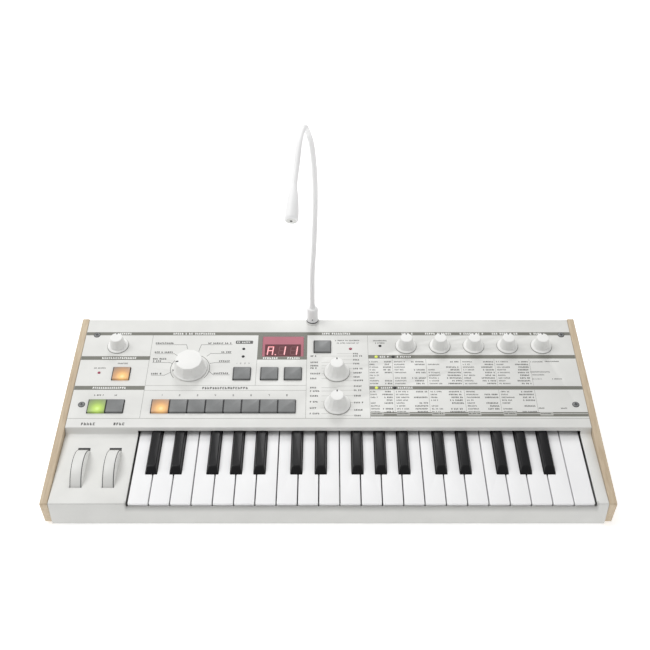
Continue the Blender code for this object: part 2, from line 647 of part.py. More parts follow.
# --- Board with switches, potentiometers, display and sockets -------------------------------------
def make_board(material):
    board = box("panel_board", (-BOARD_HALF_WIDTH, BOARD_SPAN[0], BOARD_TOP - BOARD_THICKNESS),
                (BOARD_HALF_WIDTH, BOARD_SPAN[1], BOARD_TOP), PANEL)
    root = BOARD_TOP - BOARD_THICKNESS / 2
    for name, caps in BUTTONS:
        for x, v in caps:
            merge(board, box("switch", (x - 3, v - 3, root), (x + 3, v + 3, BOARD_TOP + SWITCH_HEIGHT), PANEL))
    for name, x, v, kind in KNOBS:
        half = POT_SIZE / 2
        merge(board, box("pot", (x - half, v - half, root), (x + half, v + half, BOARD_TOP + POT_HEIGHT), PANEL))
        merge(board, turned("shaft", (x, v), [(SHAFT_RADIUS, BOARD_TOP + 1), (SHAFT_RADIUS, SHAFT_TOP)], PANEL, 12))
    low_x, high_x, low, high = DISPLAY
    merge(board, box("display", (low_x + CLEARANCE, low + CLEARANCE, root),
                     (high_x - CLEARANCE, high - CLEARANCE, -DISPLAY_RECESS), PANEL))
    inner = CASE_REAR - WALL - CLEARANCE
    for x, z, kind in SOCKETS:
        outer, bore, depth, reach = SOCKET_SIZES[kind]
        end = CASE_REAR + reach
        half = outer + 0.6
        merge(board, box("block", (x - half, inner - SOCKET_BODY, z - half), (x + half, inner, z + half), BODY))
        barrel = [[(x + a, d, z + b) for a, b in circle((0, 0), outer, 16)] for d in (inner - 2, end)]
        merge(board, rings("barrel", barrel, BODY))
        hole = [[(x + a, d, z + b) for a, b in circle((0, 0), bore, 12)] for d in (end - depth, end + 2)]
        cut(board, rings("bore", hole, BODY))
    done(board, material)


# --- Microphone -----------------------------------------------------------------------------------
def route_point(t):
    """A point on the smooth curve through MIC_ROUTE: t runs from 0 to 1 over its spans."""
    spans = len(MIC_ROUTE) - 1
    k = min(int(t * spans), spans - 1)
    u = t * spans - k
    p = [Vector(MIC_ROUTE[min(max(k + i, 0), spans)]) for i in (-1, 0, 1, 2)]
    return 0.5 * (2 * p[1] + (p[2] - p[0]) * u + (2 * p[0] - 5 * p[1] + 4 * p[2] - p[3]) * u ** 2
                  + (3 * p[1] - p[0] - 3 * p[2] + p[3]) * u ** 3)


def tube(name, centres, radii, matrix, sides=10):
    """A closed tube through centres, its rings square to the path and kept from twisting."""
    loops = []
    across_way = Vector((1, 0, 0))
    for k, centre in enumerate(centres):
        ahead = centres[min(k + 1, len(centres) - 1)] - centres[max(k - 1, 0)]
        ahead.normalize()
        across_way = (across_way - ahead * across_way.dot(ahead)).normalized()
        second = ahead.cross(across_way)
        loops.append([tuple(centre + across_way * a + second * b) for a, b in circle((0, 0), radii[k], sides)])
    return rings(name, loops, matrix)


def make_microphone(material):
    """The plug with the lower half of the gooseneck, and its upper half with the head."""
    boss_top = panel_height(MIC_SOCKET) + 0.6
    home = frame((MIC_X, MIC_SOCKET, boss_top), 0.0)
    spans = 64
    curve = [route_point(k / spans) for k in range(spans + 1)]
    lengths = [0.0]
    for a, b in zip(curve, curve[1:]):
        lengths.append(lengths[-1] + (b - a).length)
    total = lengths[-1]
    half = total * MIC_JOINT_SHARE
    split = min(range(spans + 1), key=lambda k: abs(lengths[k] - half))
    pivot = curve[split]
    onward = (curve[split + 1] - curve[split - 1]).normalized()

    lower = [p for p in curve[:split] if p.z > MIC_PLUG_HEIGHT + 4]
    lower += [pivot - onward * s for s, r in MIC_TIP[::-1]]
    plug = [(MIC_PIN_RADIUS, -MIC_PIN_LENGTH), (MIC_PIN_RADIUS, CLEARANCE), (MIC_PLUG_RADIUS, CLEARANCE),
            (MIC_PLUG_RADIUS, MIC_PLUG_HEIGHT - 1), (MIC_PLUG_RADIUS - 1, MIC_PLUG_HEIGHT),
            (MIC_STEM_RADIUS + 0.8, MIC_PLUG_HEIGHT), (MIC_STEM_RADIUS, MIC_PLUG_HEIGHT + 3)]
    centres = [Vector((0, 0, z)) for radius, z in plug] + lower
    radii = [radius for radius, z in plug] + [MIC_STEM_RADIUS] * (len(lower) - len(MIC_TIP))
    radii += [radius for s, radius in MIC_TIP[::-1]]
    stem = tube("microphone_stem", centres, radii, home)
    done(stem, material, smooth=True)

    head_start = total - MIC_HEAD_LENGTH
    upper = [pivot + onward * s for s, r in MIC_TIP]
    upper += [curve[k] for k in range(split + 1, spans + 1) if lengths[k] < head_start - 2]
    end = curve[-1]
    along = (curve[-1] - curve[-2]).normalized()
    taper = [(0.0, MIC_STEM_RADIUS), (0.12, MIC_STEM_RADIUS + 1.0), (0.4, MIC_HEAD_RADIUS - 1.4),
             (0.93, MIC_HEAD_RADIUS), (1.0, MIC_HEAD_RADIUS - 1.0)]
    head = [end - along * MIC_HEAD_LENGTH * (1 - share) for share, radius in taper]
    radii = [radius for s, radius in MIC_TIP] + [MIC_STEM_RADIUS] * (len(upper) - len(MIC_TIP))
    radii += [radius for share, radius in taper]
    top = tube("microphone_head", upper + head, radii, home)
    set_origin(top, home @ Matrix.Translation(pivot * MM))
    done(top, material, smooth=True)


# --- The instrument -------------------------------------------------------------------------------
def main():
    for old in list(bpy.data.objects):
        bpy.data.objects.remove(old)

    case = finish("case_plastic", (0.86, 0.86, 0.83), 0.45)
    wood = finish("maple", (0.78, 0.66, 0.48), 0.55)
    metal = finish("zinc_plate", (0.62, 0.63, 0.62), 0.4, 0.9)
    board = finish("circuit_board", (0.08, 0.22, 0.12), 0.5)
    white = finish("white_key_plastic", (0.93, 0.93, 0.92), 0.25)
    black = finish("black_key_plastic", (0.03, 0.03, 0.035), 0.35)
    knob = finish("knob_plastic", (0.9, 0.9, 0.88), 0.4)
    grey = finish("grey_button_plastic", (0.4, 0.4, 0.4), 0.45)
    mic = finish("microphone_finish", (0.85, 0.85, 0.85), 0.35)

    make_side_panel("wood_side_left", -WIDTH / 2, wood)
    make_side_panel("wood_side_right", WIDTH / 2 - SIDE_THICKNESS, wood)
    make_top_case(case)
    make_bottom_case(case)
    make_keybed(metal)
    make_board(board)
    make_microphone(mic)
    for name in WHEEL_X:
        make_wheel(name, case)
    for entry in KNOBS:
        make_knob(*entry, knob)
    for name, caps in BUTTONS:
        make_buttons(name, caps, grey)
    for index in range(WHITE_KEYS):
        make_white_key(index, white)
    for index in range(WHITE_KEYS):
        if has_black(index):
            make_black_key(index, black)


main()
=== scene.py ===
# %% [markdown]
# # A desktop synthesizer, piece by piece
#
# A slope-fronted instrument with 37 short keys, two wheels, knobs, lit buttons, a small display and a
# gooseneck microphone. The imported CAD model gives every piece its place, its joints and its size. This
# lesson dresses it: each cell makes one kind of piece as a surface worked out with whole-array maths,
# gives it a procedural material, and hangs it on the CAD body that it moves with.
#
# All sizes are in millimetres until the last step of each piece, and four local frames keep the numbers
# readable: x always runs across the instrument to the player's right.

# %%
import math

import bmesh
import bpy
import numpy as np
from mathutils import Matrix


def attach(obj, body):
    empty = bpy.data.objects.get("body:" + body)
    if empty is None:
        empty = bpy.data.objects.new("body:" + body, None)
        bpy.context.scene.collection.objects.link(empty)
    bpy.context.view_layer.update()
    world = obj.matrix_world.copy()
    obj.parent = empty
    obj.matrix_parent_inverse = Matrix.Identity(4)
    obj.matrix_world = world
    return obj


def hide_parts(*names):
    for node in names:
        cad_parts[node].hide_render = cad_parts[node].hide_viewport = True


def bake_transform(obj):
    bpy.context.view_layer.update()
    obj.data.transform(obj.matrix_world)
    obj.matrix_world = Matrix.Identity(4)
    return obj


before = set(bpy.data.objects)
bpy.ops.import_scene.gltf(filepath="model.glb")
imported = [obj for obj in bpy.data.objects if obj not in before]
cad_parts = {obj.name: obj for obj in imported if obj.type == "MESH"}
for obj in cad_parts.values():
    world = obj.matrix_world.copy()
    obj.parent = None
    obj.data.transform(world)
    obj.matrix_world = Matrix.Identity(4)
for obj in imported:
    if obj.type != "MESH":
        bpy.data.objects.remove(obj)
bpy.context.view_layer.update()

# %% [markdown]
# ## Sizes and frames
#
# A frame is (x, d, z, tilt): an origin at a distance d back from the front edge and a height z above the
# feet, and a turn about X. A point (a, b, c) of a tilted frame goes to
# x = a, d = b cos t - c sin t, z = b sin t + c cos t, and then to the origin. Working on the panel as if
# it were flat is far easier than sloping every number by hand.

# %%
MM = 0.001
WIDTH, SIDE_DEPTH, DEPTH = 524.0, 232.0, 237.0
SIDE = 7.0
CASE_HALF = WIDTH / 2 - SIDE - 0.3
CASE_FRONT, CASE_REAR = 0.8, 231.2
CASE_BASE, FLOOR, WALL = 3.0, 2.5, 2.2
SLOPE = math.atan2(32.6, SIDE_DEPTH)
PANEL_BASE = 30.4 - 0.5 / math.cos(SLOPE)
DECK_FRONT, DECK_REAR, DECK_REAR_Z = 30.0, 84.3, 35.5
DECK_RISE = (DECK_REAR_Z - DECK_FRONT) / (DECK_REAR - CASE_FRONT)
STEP_TOP = 87.2

BODY = (0.0, 0.0, 0.0, 0.0)
PANEL = (0.0, 0.0, PANEL_BASE, SLOPE)
KEYS = (0.0, 3.0, DECK_FRONT + DECK_RISE * 2.2 - 2.3, math.atan(DECK_RISE))
DECK = (0.0, 0.0, DECK_FRONT - DECK_RISE * CASE_FRONT, math.atan(DECK_RISE))


def panel_z(d):
    """Height of the panel's face at a distance d back: z = base + d tan(slope)."""
    return PANEL_BASE + math.tan(SLOPE) * d


def to_row(points, home=BODY):
    """Row-frame metres of local millimetre points: a turn by tilt about X, then a move."""
    p = np.asarray(points, float).reshape(-1, 3)
    c, s = math.cos(home[3]), math.sin(home[3])
    d = p[:, 1] * c - p[:, 2] * s
    z = p[:, 1] * s + p[:, 2] * c
    return np.column_stack([p[:, 0] + home[0], d + home[1] - DEPTH / 2, z + home[2]]) * MM


print("panel slope %.2f degrees, key slope %.2f degrees" % (math.degrees(SLOPE), math.degrees(KEYS[3])))

# %% [markdown]
# ## Outlines
#
# Flat closed outlines are (n, 2) arrays that run anticlockwise. `fillet` swaps corners for arcs: for a
# corner with half-angle h, an arc of radius r starts r / tan h from the corner and its centre is
# r / sin h along the bisector. `inset` moves every side inwards by s: the corner between unit normals
# n1 and n2 moves by s (n1 + n2) / (1 + n1.n2).

# %%
def rect(x0, x1, y0, y1):
    return np.array([[x0, y0], [x1, y0], [x1, y1], [x0, y1]], float)


def circle(x, y, r, sides=48):
    a = 2 * np.pi * np.arange(sides) / sides
    return np.column_stack([x + r * np.cos(a), y + r * np.sin(a)])


def fillet(outline, radii, steps=5):
    """The outline with an arc at each corner; radii is one number or {corner: radius}."""
    pts = np.asarray(outline, float)
    if not isinstance(radii, dict):
        radii = {i: radii for i in range(len(pts))}
    out = []
    for i, corner in enumerate(pts):
        if not radii.get(i):
            out.append(corner[None])
            continue
        u = pts[i - 1] - corner
        v = pts[(i + 1) % len(pts)] - corner
        u, v = u / np.hypot(*u), v / np.hypot(*v)
        half = math.acos(np.clip(u @ v, -1, 1)) / 2
        centre = corner + (u + v) / np.hypot(*(u + v)) * radii[i] / math.sin(half)
        a0 = math.atan2(*(corner + u * radii[i] / math.tan(half) - centre)[::-1])
        a1 = math.atan2(*(corner + v * radii[i] / math.tan(half) - centre)[::-1])
        turn = (a1 - a0 + math.pi) % (2 * math.pi) - math.pi
        a = a0 + turn * np.linspace(0, 1, steps + 1)
        out.append(centre + radii[i] * np.column_stack([np.cos(a), np.sin(a)]))
    return np.vstack(out)


def inset(outline, s):
    """Every side moved inwards by s, corners mitred."""
    side = np.roll(outline, -1, 0) - outline
    n2 = np.column_stack([-side[:, 1], side[:, 0]]) / np.hypot(side[:, 0], side[:, 1])[:, None]
    n1 = np.roll(n2, 1, 0)
    return outline + s * (n1 + n2) / (1 + (n1 * n2).sum(1))[:, None]


print("a filleted square has", len(fillet(rect(0, 1, 0, 1), 0.2)), "points")

# %% [markdown]
# ## Solids
#
# A solid is (points, quads, caps). `loft` is the root of nearly everything here: rows of equally many
# points, P(i, j), give quads between row i and row i + 1 and one flat cap at each end. `slab` pulls an
# outline up and rolls its top edge over a quarter circle of radius e:
# inset(t) = e (1 - cos t), z(t) = high - e (1 - sin t). `lathe` turns a (radius, height) profile, and can
# press n facets into it with r(a) = r [1 - w + w cos(pi/n) / cos((a mod 2 pi/n) - pi/n)].
# `sweep` carries a circle along a path on a frame that never twists.

# %%
def loft(rows):
    rows = np.asarray(rows, float)
    m, n = rows.shape[:2]
    i = np.arange(n)
    j = (i + 1) % n
    low = np.arange(m - 1)[:, None] * n
    quads = np.stack([low + i, low + j, low + n + j, low + n + i], -1).reshape(-1, 4)
    return rows.reshape(-1, 3), quads, [np.arange(n)[::-1], (m - 1) * n + np.arange(n)]


def slab(outline, low, high, edge=0.0, steps=3, under=0.0):
    """A plate from low to high over an outline, its top edge rolled by edge and its lower one by under."""
    rows = []
    for t in np.linspace(0, np.pi / 2, steps + 1) if under else []:
        rows.append((under * (1 - math.sin(t)), low + under * (1 - math.cos(t))))
    if not under:
        rows.append((0.0, low))
    for t in np.linspace(0, np.pi / 2, steps + 1) if edge else []:
        rows.append((edge * (1 - math.cos(t)), high - edge * (1 - math.sin(t))))
    if not edge:
        rows.append((0.0, high))
    return loft([np.column_stack([inset(outline, s), np.full(len(outline), z)]) for s, z in rows])


def cuboid(low, high):
    return slab(rect(low[0], high[0], low[1], high[1]), low[2], high[2])


def across(outline, x0, x1, edge=0.0):
    """A (distance, height) outline pulled along x, both end edges rolled."""
    points, quads, caps = slab(outline, x0, x1, edge, under=edge)
    return points[:, [2, 0, 1]], quads, caps


def lathe(profile, centre=(0.0, 0.0), sides=64, facets=0, turn=0.0):
    """A turned solid; a profile row is (radius, height) or (radius, height, facet weight)."""
    a = 2 * np.pi * np.arange(sides) / sides + turn
    rows = []
    for row in profile:
        r, z, w = (*row, 0.0)[:3]
        step = 2 * np.pi / max(facets, 1)
        cut = math.cos(step / 2) / np.cos((a - turn) % step - step / 2) if facets and w else 1.0
        rr = r * (1 - w + w * cut)
        rows.append(np.column_stack([centre[0] + rr * np.cos(a), centre[1] + rr * np.sin(a), np.full(sides, z)]))
    return loft(rows)


def sweep(path, radii, sides=24):
    """A tube: at each point the across-vector is the last one made square to the new tangent."""
    path = np.asarray(path, float)
    ahead = np.gradient(path, axis=0)
    ahead /= np.linalg.norm(ahead, axis=1)[:, None]
    a = 2 * np.pi * np.arange(sides) / sides
    u = np.array([1.0, 0.0, 0.0])
    rows = []
    for p, t, r in zip(path, ahead, np.broadcast_to(radii, len(path))):
        u = u - t * (u @ t)
        u /= np.linalg.norm(u)
        v = np.cross(t, u)
        rows.append(p + r * (np.cos(a)[:, None] * u + np.sin(a)[:, None] * v))
    return loft(rows)


def build(name, solids, home=BODY, sharp=32.0):
    """A mesh object from solids: faces turned outwards, sides smooth, caps flat."""
    points, faces, flat, base = [], [], [], 0
    for p, quads, caps in solids:
        points.append(p)
        faces += [tuple(q) for q in (np.asarray(quads) + base).tolist()] + [tuple((c + base).tolist()) for c in caps]
        flat += [False] * len(quads) + [True] * len(caps)
        base += len(p)
    mesh = bpy.data.meshes.new(name)
    mesh.from_pydata(to_row(np.vstack(points), home).tolist(), [], faces)
    shell = bmesh.new()
    shell.from_mesh(mesh)
    bmesh.ops.recalc_face_normals(shell, faces=shell.faces)
    shell.to_mesh(mesh)
    shell.free()
    mesh.polygons.foreach_set("use_smooth", ~np.array(flat))
    mesh.set_sharp_from_angle(angle=math.radians(sharp))
    made = bpy.data.objects.new(name, mesh)
    bpy.context.scene.collection.objects.link(made)
    return made


def dress(made, material, body="case", stands_for=()):
    """Gives a finished piece its material, its CAD body and the CAD nodes that it stands for."""
    made.data.materials.clear()
    made.data.materials.append(material)
    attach(made, body)
    if stands_for:
        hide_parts(*stands_for)
    print("%-24s %6d faces, on %s" % (made.name, len(made.data.polygons), body))
    return made


def piece(name, solids, material, body="case", home=BODY, stands_for=(), sharp=32.0):
    return dress(build(name, solids, home, sharp), material, body, stands_for)


def carve(made, solids, home=BODY):
    """Cuts one solid after another out of a piece with exact Booleans."""
    for solid in solids:
        tool = build("cutter", [solid], home)
        cut = made.modifiers.new("cut", "BOOLEAN")
        cut.solver = "EXACT"
        cut.operation = "DIFFERENCE"
        cut.object = tool
        bpy.context.view_layer.update()
        fresh = bpy.data.meshes.new_from_object(made.evaluated_get(bpy.context.evaluated_depsgraph_get()))
        made.modifiers.clear()
        made.data = fresh
        bpy.data.objects.remove(tool)
    return made


def bevel(made, width, segments=2, angle=40.0):
    """Softens the sharp edges that cutting has left."""
    soft = made.modifiers.new("soft edges", "BEVEL")
    soft.width = width * MM
    soft.segments = segments
    soft.limit_method = "ANGLE"
    soft.angle_limit = math.radians(angle)
    soft.use_clamp_overlap = False
    bpy.context.view_layer.update()
    fresh = bpy.data.meshes.new_from_object(made.evaluated_get(bpy.context.evaluated_depsgraph_get()))
    made.modifiers.clear()
    made.data = fresh
    made.data.shade_smooth()
    made.data.set_sharp_from_angle(angle=math.radians(25))
    return made


print("a lofted tube has", len(lathe([(1, 0), (1, 1)])[1]), "sides")

# %% [markdown]
# ## Materials
#
# Nothing real is one flat colour. Every material here mixes two near tones with noise in object
# coordinates, varies its roughness a little, and can carry a fine bump. Plastic takes three noise scales
# from moulding; wood stretches noise along the grain; a lit cap fades with distance from its lamp.

# %%
def fresh_material(name):
    made = bpy.data.materials.new(name)
    made.use_nodes = True
    tree = made.node_tree
    place = tree.nodes.new("ShaderNodeTexCoord").outputs["Object"]
    return made, tree, tree.nodes["Principled BSDF"], place


def noise(tree, place, scale, detail=3.0, stretch=None):
    """A noise texture, stretched when three factors are given."""
    if stretch:
        mapping = tree.nodes.new("ShaderNodeMapping")
        mapping.inputs["Scale"].default_value = stretch
        tree.links.new(place, mapping.inputs["Vector"])
        place = mapping.outputs["Vector"]
    tex = tree.nodes.new("ShaderNodeTexNoise")
    tex.inputs["Scale"].default_value = scale
    tex.inputs["Detail"].default_value = detail
    tree.links.new(place, tex.inputs["Vector"])
    return tex.outputs["Fac"]


def ramp(tree, factor, stops):
    """A colour ramp; stops is a list of (position, (r, g, b))."""
    node = tree.nodes.new("ShaderNodeValToRGB")
    bar = node.color_ramp
    while len(bar.elements) < len(stops):
        bar.elements.new(0.5)
    for element, (at, colour) in zip(bar.elements, stops):
        element.position = at
        element.color = (*colour, 1.0)
    tree.links.new(factor, node.inputs["Fac"])
    return node.outputs["Color"]


def spread(tree, factor, low, high):
    node = tree.nodes.new("ShaderNodeMapRange")
    node.inputs["To Min"].default_value = low
    node.inputs["To Max"].default_value = high
    tree.links.new(factor, node.inputs["Value"])
    return node.outputs["Result"]


def bump(tree, shader, factor, depth, strength=0.5):
    node = tree.nodes.new("ShaderNodeBump")
    node.inputs["Distance"].default_value = depth * MM
    node.inputs["Strength"].default_value = strength
    tree.links.new(factor, node.inputs["Height"])
    tree.links.new(node.outputs["Normal"], shader.inputs["Normal"])


def plastic(name, colour, rough=0.45, vary=0.03, grain=0.02, metallic=0.0, coat=0.0, scale=40.0):
    """Two near tones, uneven roughness and a fine moulded grain."""
    made, tree, shader, place = fresh_material(name)
    soft = noise(tree, place, scale)
    dark = tuple(c * (1 - vary) for c in colour)
    light = tuple(min(1.0, c * (1 + vary)) for c in colour)
    tree.links.new(ramp(tree, soft, [(0.3, dark), (0.7, light)]), shader.inputs["Base Color"])
    fine = noise(tree, place, 1800.0, 2.0)
    tree.links.new(spread(tree, fine, rough * 0.9, rough * 1.1), shader.inputs["Roughness"])
    if grain:
        bump(tree, shader, fine, grain)
    shader.inputs["Metallic"].default_value = metallic
    shader.inputs["Coat Weight"].default_value = coat
    shader.inputs["Coat Roughness"].default_value = 0.08
    return made


def paint_shade(made, terms, depth):
    """Paints shade into a plastic: darkens it by depth where every term (axis, from, to) ramps from 0 to 1, in
    millimetres.
    """
    tree = made.node_tree
    shader = tree.nodes["Principled BSDF"]
    place = tree.nodes.new("ShaderNodeSeparateXYZ")
    tree.links.new(tree.nodes["Texture Coordinate"].outputs["Object"], place.inputs["Vector"])
    product = None
    for axis, start, end in terms:
        step = tree.nodes.new("ShaderNodeMapRange")
        step.inputs["From Min"].default_value = start * MM
        step.inputs["From Max"].default_value = end * MM
        tree.links.new(place.outputs[axis], step.inputs["Value"])
        if product is None:
            product = step.outputs["Result"]
            continue
        times = tree.nodes.new("ShaderNodeMath")
        times.operation = "MULTIPLY"
        tree.links.new(product, times.inputs[0])
        tree.links.new(step.outputs["Result"], times.inputs[1])
        product = times.outputs["Value"]
    scale = tree.nodes.new("ShaderNodeVectorMath")
    scale.operation = "SCALE"
    tree.links.new(shader.inputs["Base Color"].links[0].from_socket, scale.inputs[0])
    tree.links.new(spread(tree, product, 1.0, 1.0 - depth), scale.inputs["Scale"])
    tree.links.new(scale.outputs["Vector"], shader.inputs["Base Color"])


def glow(name, centre, reach, stops, strength=1.0, rough=0.35):
    """A lit translucent cap: colour by distance from the lamp, t = |p - lamp| / reach."""
    made, tree, shader, place = fresh_material(name)
    away = tree.nodes.new("ShaderNodeVectorMath")
    away.operation = "DISTANCE"
    away.inputs[1].default_value = centre
    tree.links.new(place, away.inputs[0])
    near = tree.nodes.new("ShaderNodeMapRange")
    near.inputs["From Max"].default_value = reach * MM
    tree.links.new(away.outputs["Value"], near.inputs["Value"])
    colour = ramp(tree, near.outputs["Result"], stops)
    tree.links.new(colour, shader.inputs["Base Color"])
    tree.links.new(colour, shader.inputs["Emission Color"])
    shader.inputs["Emission Strength"].default_value = strength
    shader.inputs["Roughness"].default_value = rough
    return made


def maple(name):
    """Grain lines and long pale figure, both stretched along the board."""
    made, tree, shader, place = fresh_material(name)
    figure = noise(tree, place, 14.0, 4.0, stretch=(3.0, 0.35, 2.2))
    lines = noise(tree, place, 90.0, 6.0, stretch=(6.0, 0.12, 5.0))
    blend = tree.nodes.new("ShaderNodeMix")
    blend.inputs["Factor"].default_value = 0.55
    tree.links.new(figure, blend.inputs["A"])
    tree.links.new(lines, blend.inputs["B"])
    tones = [(0.3, (0.45, 0.34, 0.22)), (0.5, (0.56, 0.45, 0.315)), (0.7, (0.66, 0.56, 0.41))]
    tree.links.new(ramp(tree, blend.outputs["Result"], tones), shader.inputs["Base Color"])
    tree.links.new(spread(tree, lines, 0.4, 0.55), shader.inputs["Roughness"])
    bump(tree, shader, lines, 0.05, 0.3)
    return made


CASE = plastic("case_plastic", (0.76, 0.76, 0.735), 0.42)
TOP = plastic("top_case_plastic_painted_shade", (0.76, 0.76, 0.735), 0.42)
WHITE = plastic("white_key", (0.90, 0.90, 0.905), 0.45, vary=0.012, grain=0.0)
BLACK = plastic("black_key", (0.006, 0.006, 0.007), 0.33, vary=0.2, grain=0.0)
BLACK.node_tree.nodes["Principled BSDF"].inputs["Specular IOR Level"].default_value = 0.28
KNOB = plastic("knob_plastic", (0.82, 0.82, 0.80), 0.45)
GREY = plastic("grey_cap", (0.2, 0.205, 0.205), 0.4, vary=0.1, scale=90.0)
WOOD = maple("maple")
STRIPE = plastic("stripe_ink", (0.19, 0.19, 0.163), 0.5, vary=0.05)
INK = plastic("grey_ink", (0.10, 0.10, 0.095), 0.5, vary=0.1)
FAINT = plastic("thin_line_ink_and_ring_shadows", (0.34, 0.34, 0.32), 0.5, vary=0.1)
PALE = plastic("white_ink", (0.85, 0.85, 0.83), 0.5, vary=0.05)
LABEL = plastic("label_ink", (0.46, 0.46, 0.43), 0.5, vary=0.05)
DARK = plastic("dark_plastic", (0.02, 0.02, 0.022), 0.4, vary=0.2)
SLEEVE = plastic("microphone_sleeve", (0.86, 0.86, 0.86), 0.45)
# Painted glow: the knob and microphone plastics give off a faint white light of their own, which lifts their shaded
# sides.
for soft in (KNOB, SLEEVE):
    soft.node_tree.nodes["Principled BSDF"].inputs["Emission Color"].default_value = (1.0, 1.0, 0.99, 1.0)
    soft.node_tree.nodes["Principled BSDF"].inputs["Emission Strength"].default_value = 0.04
STEEL = plastic("plated_steel", (0.6, 0.6, 0.58), 0.35, vary=0.08, metallic=1.0)
ZINC = plastic("zinc_plate", (0.5, 0.51, 0.5), 0.45, vary=0.1, metallic=0.8)
RUBBER = plastic("rubber", (0.03, 0.03, 0.03), 0.8, vary=0.2, grain=0.05)
GREEN_BOARD = plastic("circuit_board", (0.02, 0.12, 0.05), 0.4, vary=0.2)
print(len(bpy.data.materials), "materials so far")

# %% [markdown]
# ## Top case
#
# One moulded shell: its side profile is pulled across the instrument, and then everything that breaks it
# is cut away: the keys' opening with its curved front edge, two slots that follow the wheels, the button
# windows, the display and the holes for the shafts. A small bevel then rolls every edge that the cutting
# left sharp, because a moulding has no knife edges and the eye reads its size from them.

# %%
PATH = [
    (CASE_FRONT, CASE_BASE), (CASE_FRONT, DECK_FRONT), (DECK_REAR, DECK_REAR_Z),
    (STEP_TOP, panel_z(STEP_TOP)), (CASE_REAR, panel_z(CASE_REAR)), (CASE_REAR, CASE_BASE + FLOOR + 0.3),
]
WHITE_COUNT, PITCH, KEYS_LEFT = 22, 19.4, -183.4
KEYS_RIGHT = KEYS_LEFT + WHITE_COUNT * PITCH
OPEN_LEFT, OPEN_RIGHT = KEYS_LEFT - 0.9, KEYS_RIGHT + 0.9
NOTCH, RAIL_TOP, RAIL_REAR, RAIL_EDGE = 20.4, 25.2, 2.6, 0.8
BLACK_TOP_AT_STEP = KEYS[2] + DECK_RISE * (DECK_REAR - 3.0) + 4.8
CAP_W, CAP_L, CAP_PITCH, CAP_RISE = 17.4, 16.2, 17.8, 2.0
LOWER, MIDDLE, UPPER = 113.8, 156.2, 193.1
WHEELS = {"pitch_wheel": -232.9, "mod_wheel": -203.0}
WHEEL_R, WHEEL_W, WHEEL_D, WHEEL_Z = 27.5, 10.4, 43.4, 16.4
DISPLAY = (-68.6, -25.5, 179.9, 208.1)
CONTROLS = [80.7 + 35.2 * i for i in range(5)]
SHAFTS = [(-218.9, 194.8), (-141.0, 163.4), (8.7, 158.5), (8.7, 116.4)] + [(x, 194.5) for x in CONTROLS]
MIC = (-16.8, CASE_REAR - 2.7)


def offset_path(path, s):
    """An open path moved to its right by s: each inner point is where its two moved sides meet."""
    p = np.asarray(path, float)
    t = np.diff(p, axis=0)
    t /= np.hypot(t[:, 0], t[:, 1])[:, None]
    n = np.column_stack([t[:, 1], -t[:, 0]])
    out = p.copy()
    out[0] += s * n[0]
    out[-1] += s * n[-1]
    out[1:-1] += s * (n[:-1] + n[1:]) / (1 + (n[:-1] * n[1:]).sum(1))[:, None]
    return out


outer = fillet(PATH, {1: 1.4, 2: 2.2, 3: 1.0, 4: 1.8})
profile = np.vstack([outer, offset_path(PATH, WALL)[::-1]])
top = build("top_case_shell", [across(profile[::-1], -CASE_HALF, CASE_HALF)])

t = np.linspace(0, np.pi / 2, 9)
reach = RAIL_REAR - RAIL_EDGE - CASE_FRONT
cove = np.column_stack([CASE_FRONT + reach * (1 - np.cos(t)), NOTCH + (RAIL_TOP - NOTCH) * np.sin(t)])
opening = np.vstack([
    [(-5, NOTCH)], cove, [(RAIL_REAR, RAIL_TOP), (RAIL_REAR, 14.4), (95, 14.4), (95, BLACK_TOP_AT_STEP + 0.8),
                          (80, BLACK_TOP_AT_STEP + 0.8), (80, 60), (-5, 60)],
])
cuts = [across(opening[::-1], OPEN_LEFT, OPEN_RIGHT)]
for x in WHEELS.values():
    arc = circle(WHEEL_D, WHEEL_Z, WHEEL_R + 0.6, 96)
    cuts.append(across(arc[arc[:, 1] > WHEEL_Z], x - WHEEL_W / 2 - 0.6, x + WHEEL_W / 2 + 0.6))
carve(top, cuts)

windows = [
    (-210.2, -210.2, MIDDLE), (-228.2, -210.4, LOWER), (-165.8, -165.8 + 7 * CAP_PITCH, LOWER),
    (-87.8, -87.8, MIDDLE), (-60.0, -60.0, MIDDLE), (-36.0, -36.0, MIDDLE), (-6.2, -6.2, UPPER),
]
cuts = [slab(rect(a - CAP_W / 2 - 0.4, b + CAP_W / 2 + 0.4, v - CAP_L / 2 - 0.4, v + CAP_L / 2 + 0.4), -9, 9)
        for a, b, v in windows]
cuts.append(slab(rect(*DISPLAY), -9, 9))
cuts += [lathe([(3.35, -9), (3.35, 9)], p, 24) for p in SHAFTS]
carve(top, cuts, PANEL)
bevel(top, 0.3)
y0, y1 = CASE_FRONT - DEPTH / 2, DECK_REAR - DEPTH / 2
# Painted shade: the cove under the keys' front edges darkens upwards towards the keys, by up to 32%, where the
# overhanging keys shade it.
paint_shade(TOP, [("Y", y0 + 4.0, y0 + 3.0), ("Z", 19.0, 25.0), ("X", OPEN_LEFT - 2.0, OPEN_LEFT), ("X", OPEN_RIGHT + 2.0, OPEN_RIGHT)], 0.32)
# Painted shade: the front face of the case is darkened by 13% at its front plane, against the light that the bright
# floor throws on it.
paint_shade(TOP, [("Y", y0 + 1.6, y0 + 0.6)], 0.13)
dress(top, TOP, stands_for=["top_case"])

boss_top = panel_z(MIC[1]) + 0.6
ring = [(2.7, boss_top - 13), (7.2, boss_top - 13), (7.2, boss_top - 0.6), (6.6, boss_top), (2.7, boss_top)]
rows = [np.column_stack([circle(*MIC, r), np.full(48, z)]) for r, z in ring]
boss = loft(rows)
piece("microphone_socket_boss", [boss], CASE)

# %% [markdown]
# ## Wood sides and underside
#
# Each cheek is the side profile pulled 7 mm, with its long edges rolled. The grain runs front to back.
# Underneath are the tray, its four rubber feet and the screws that close it.

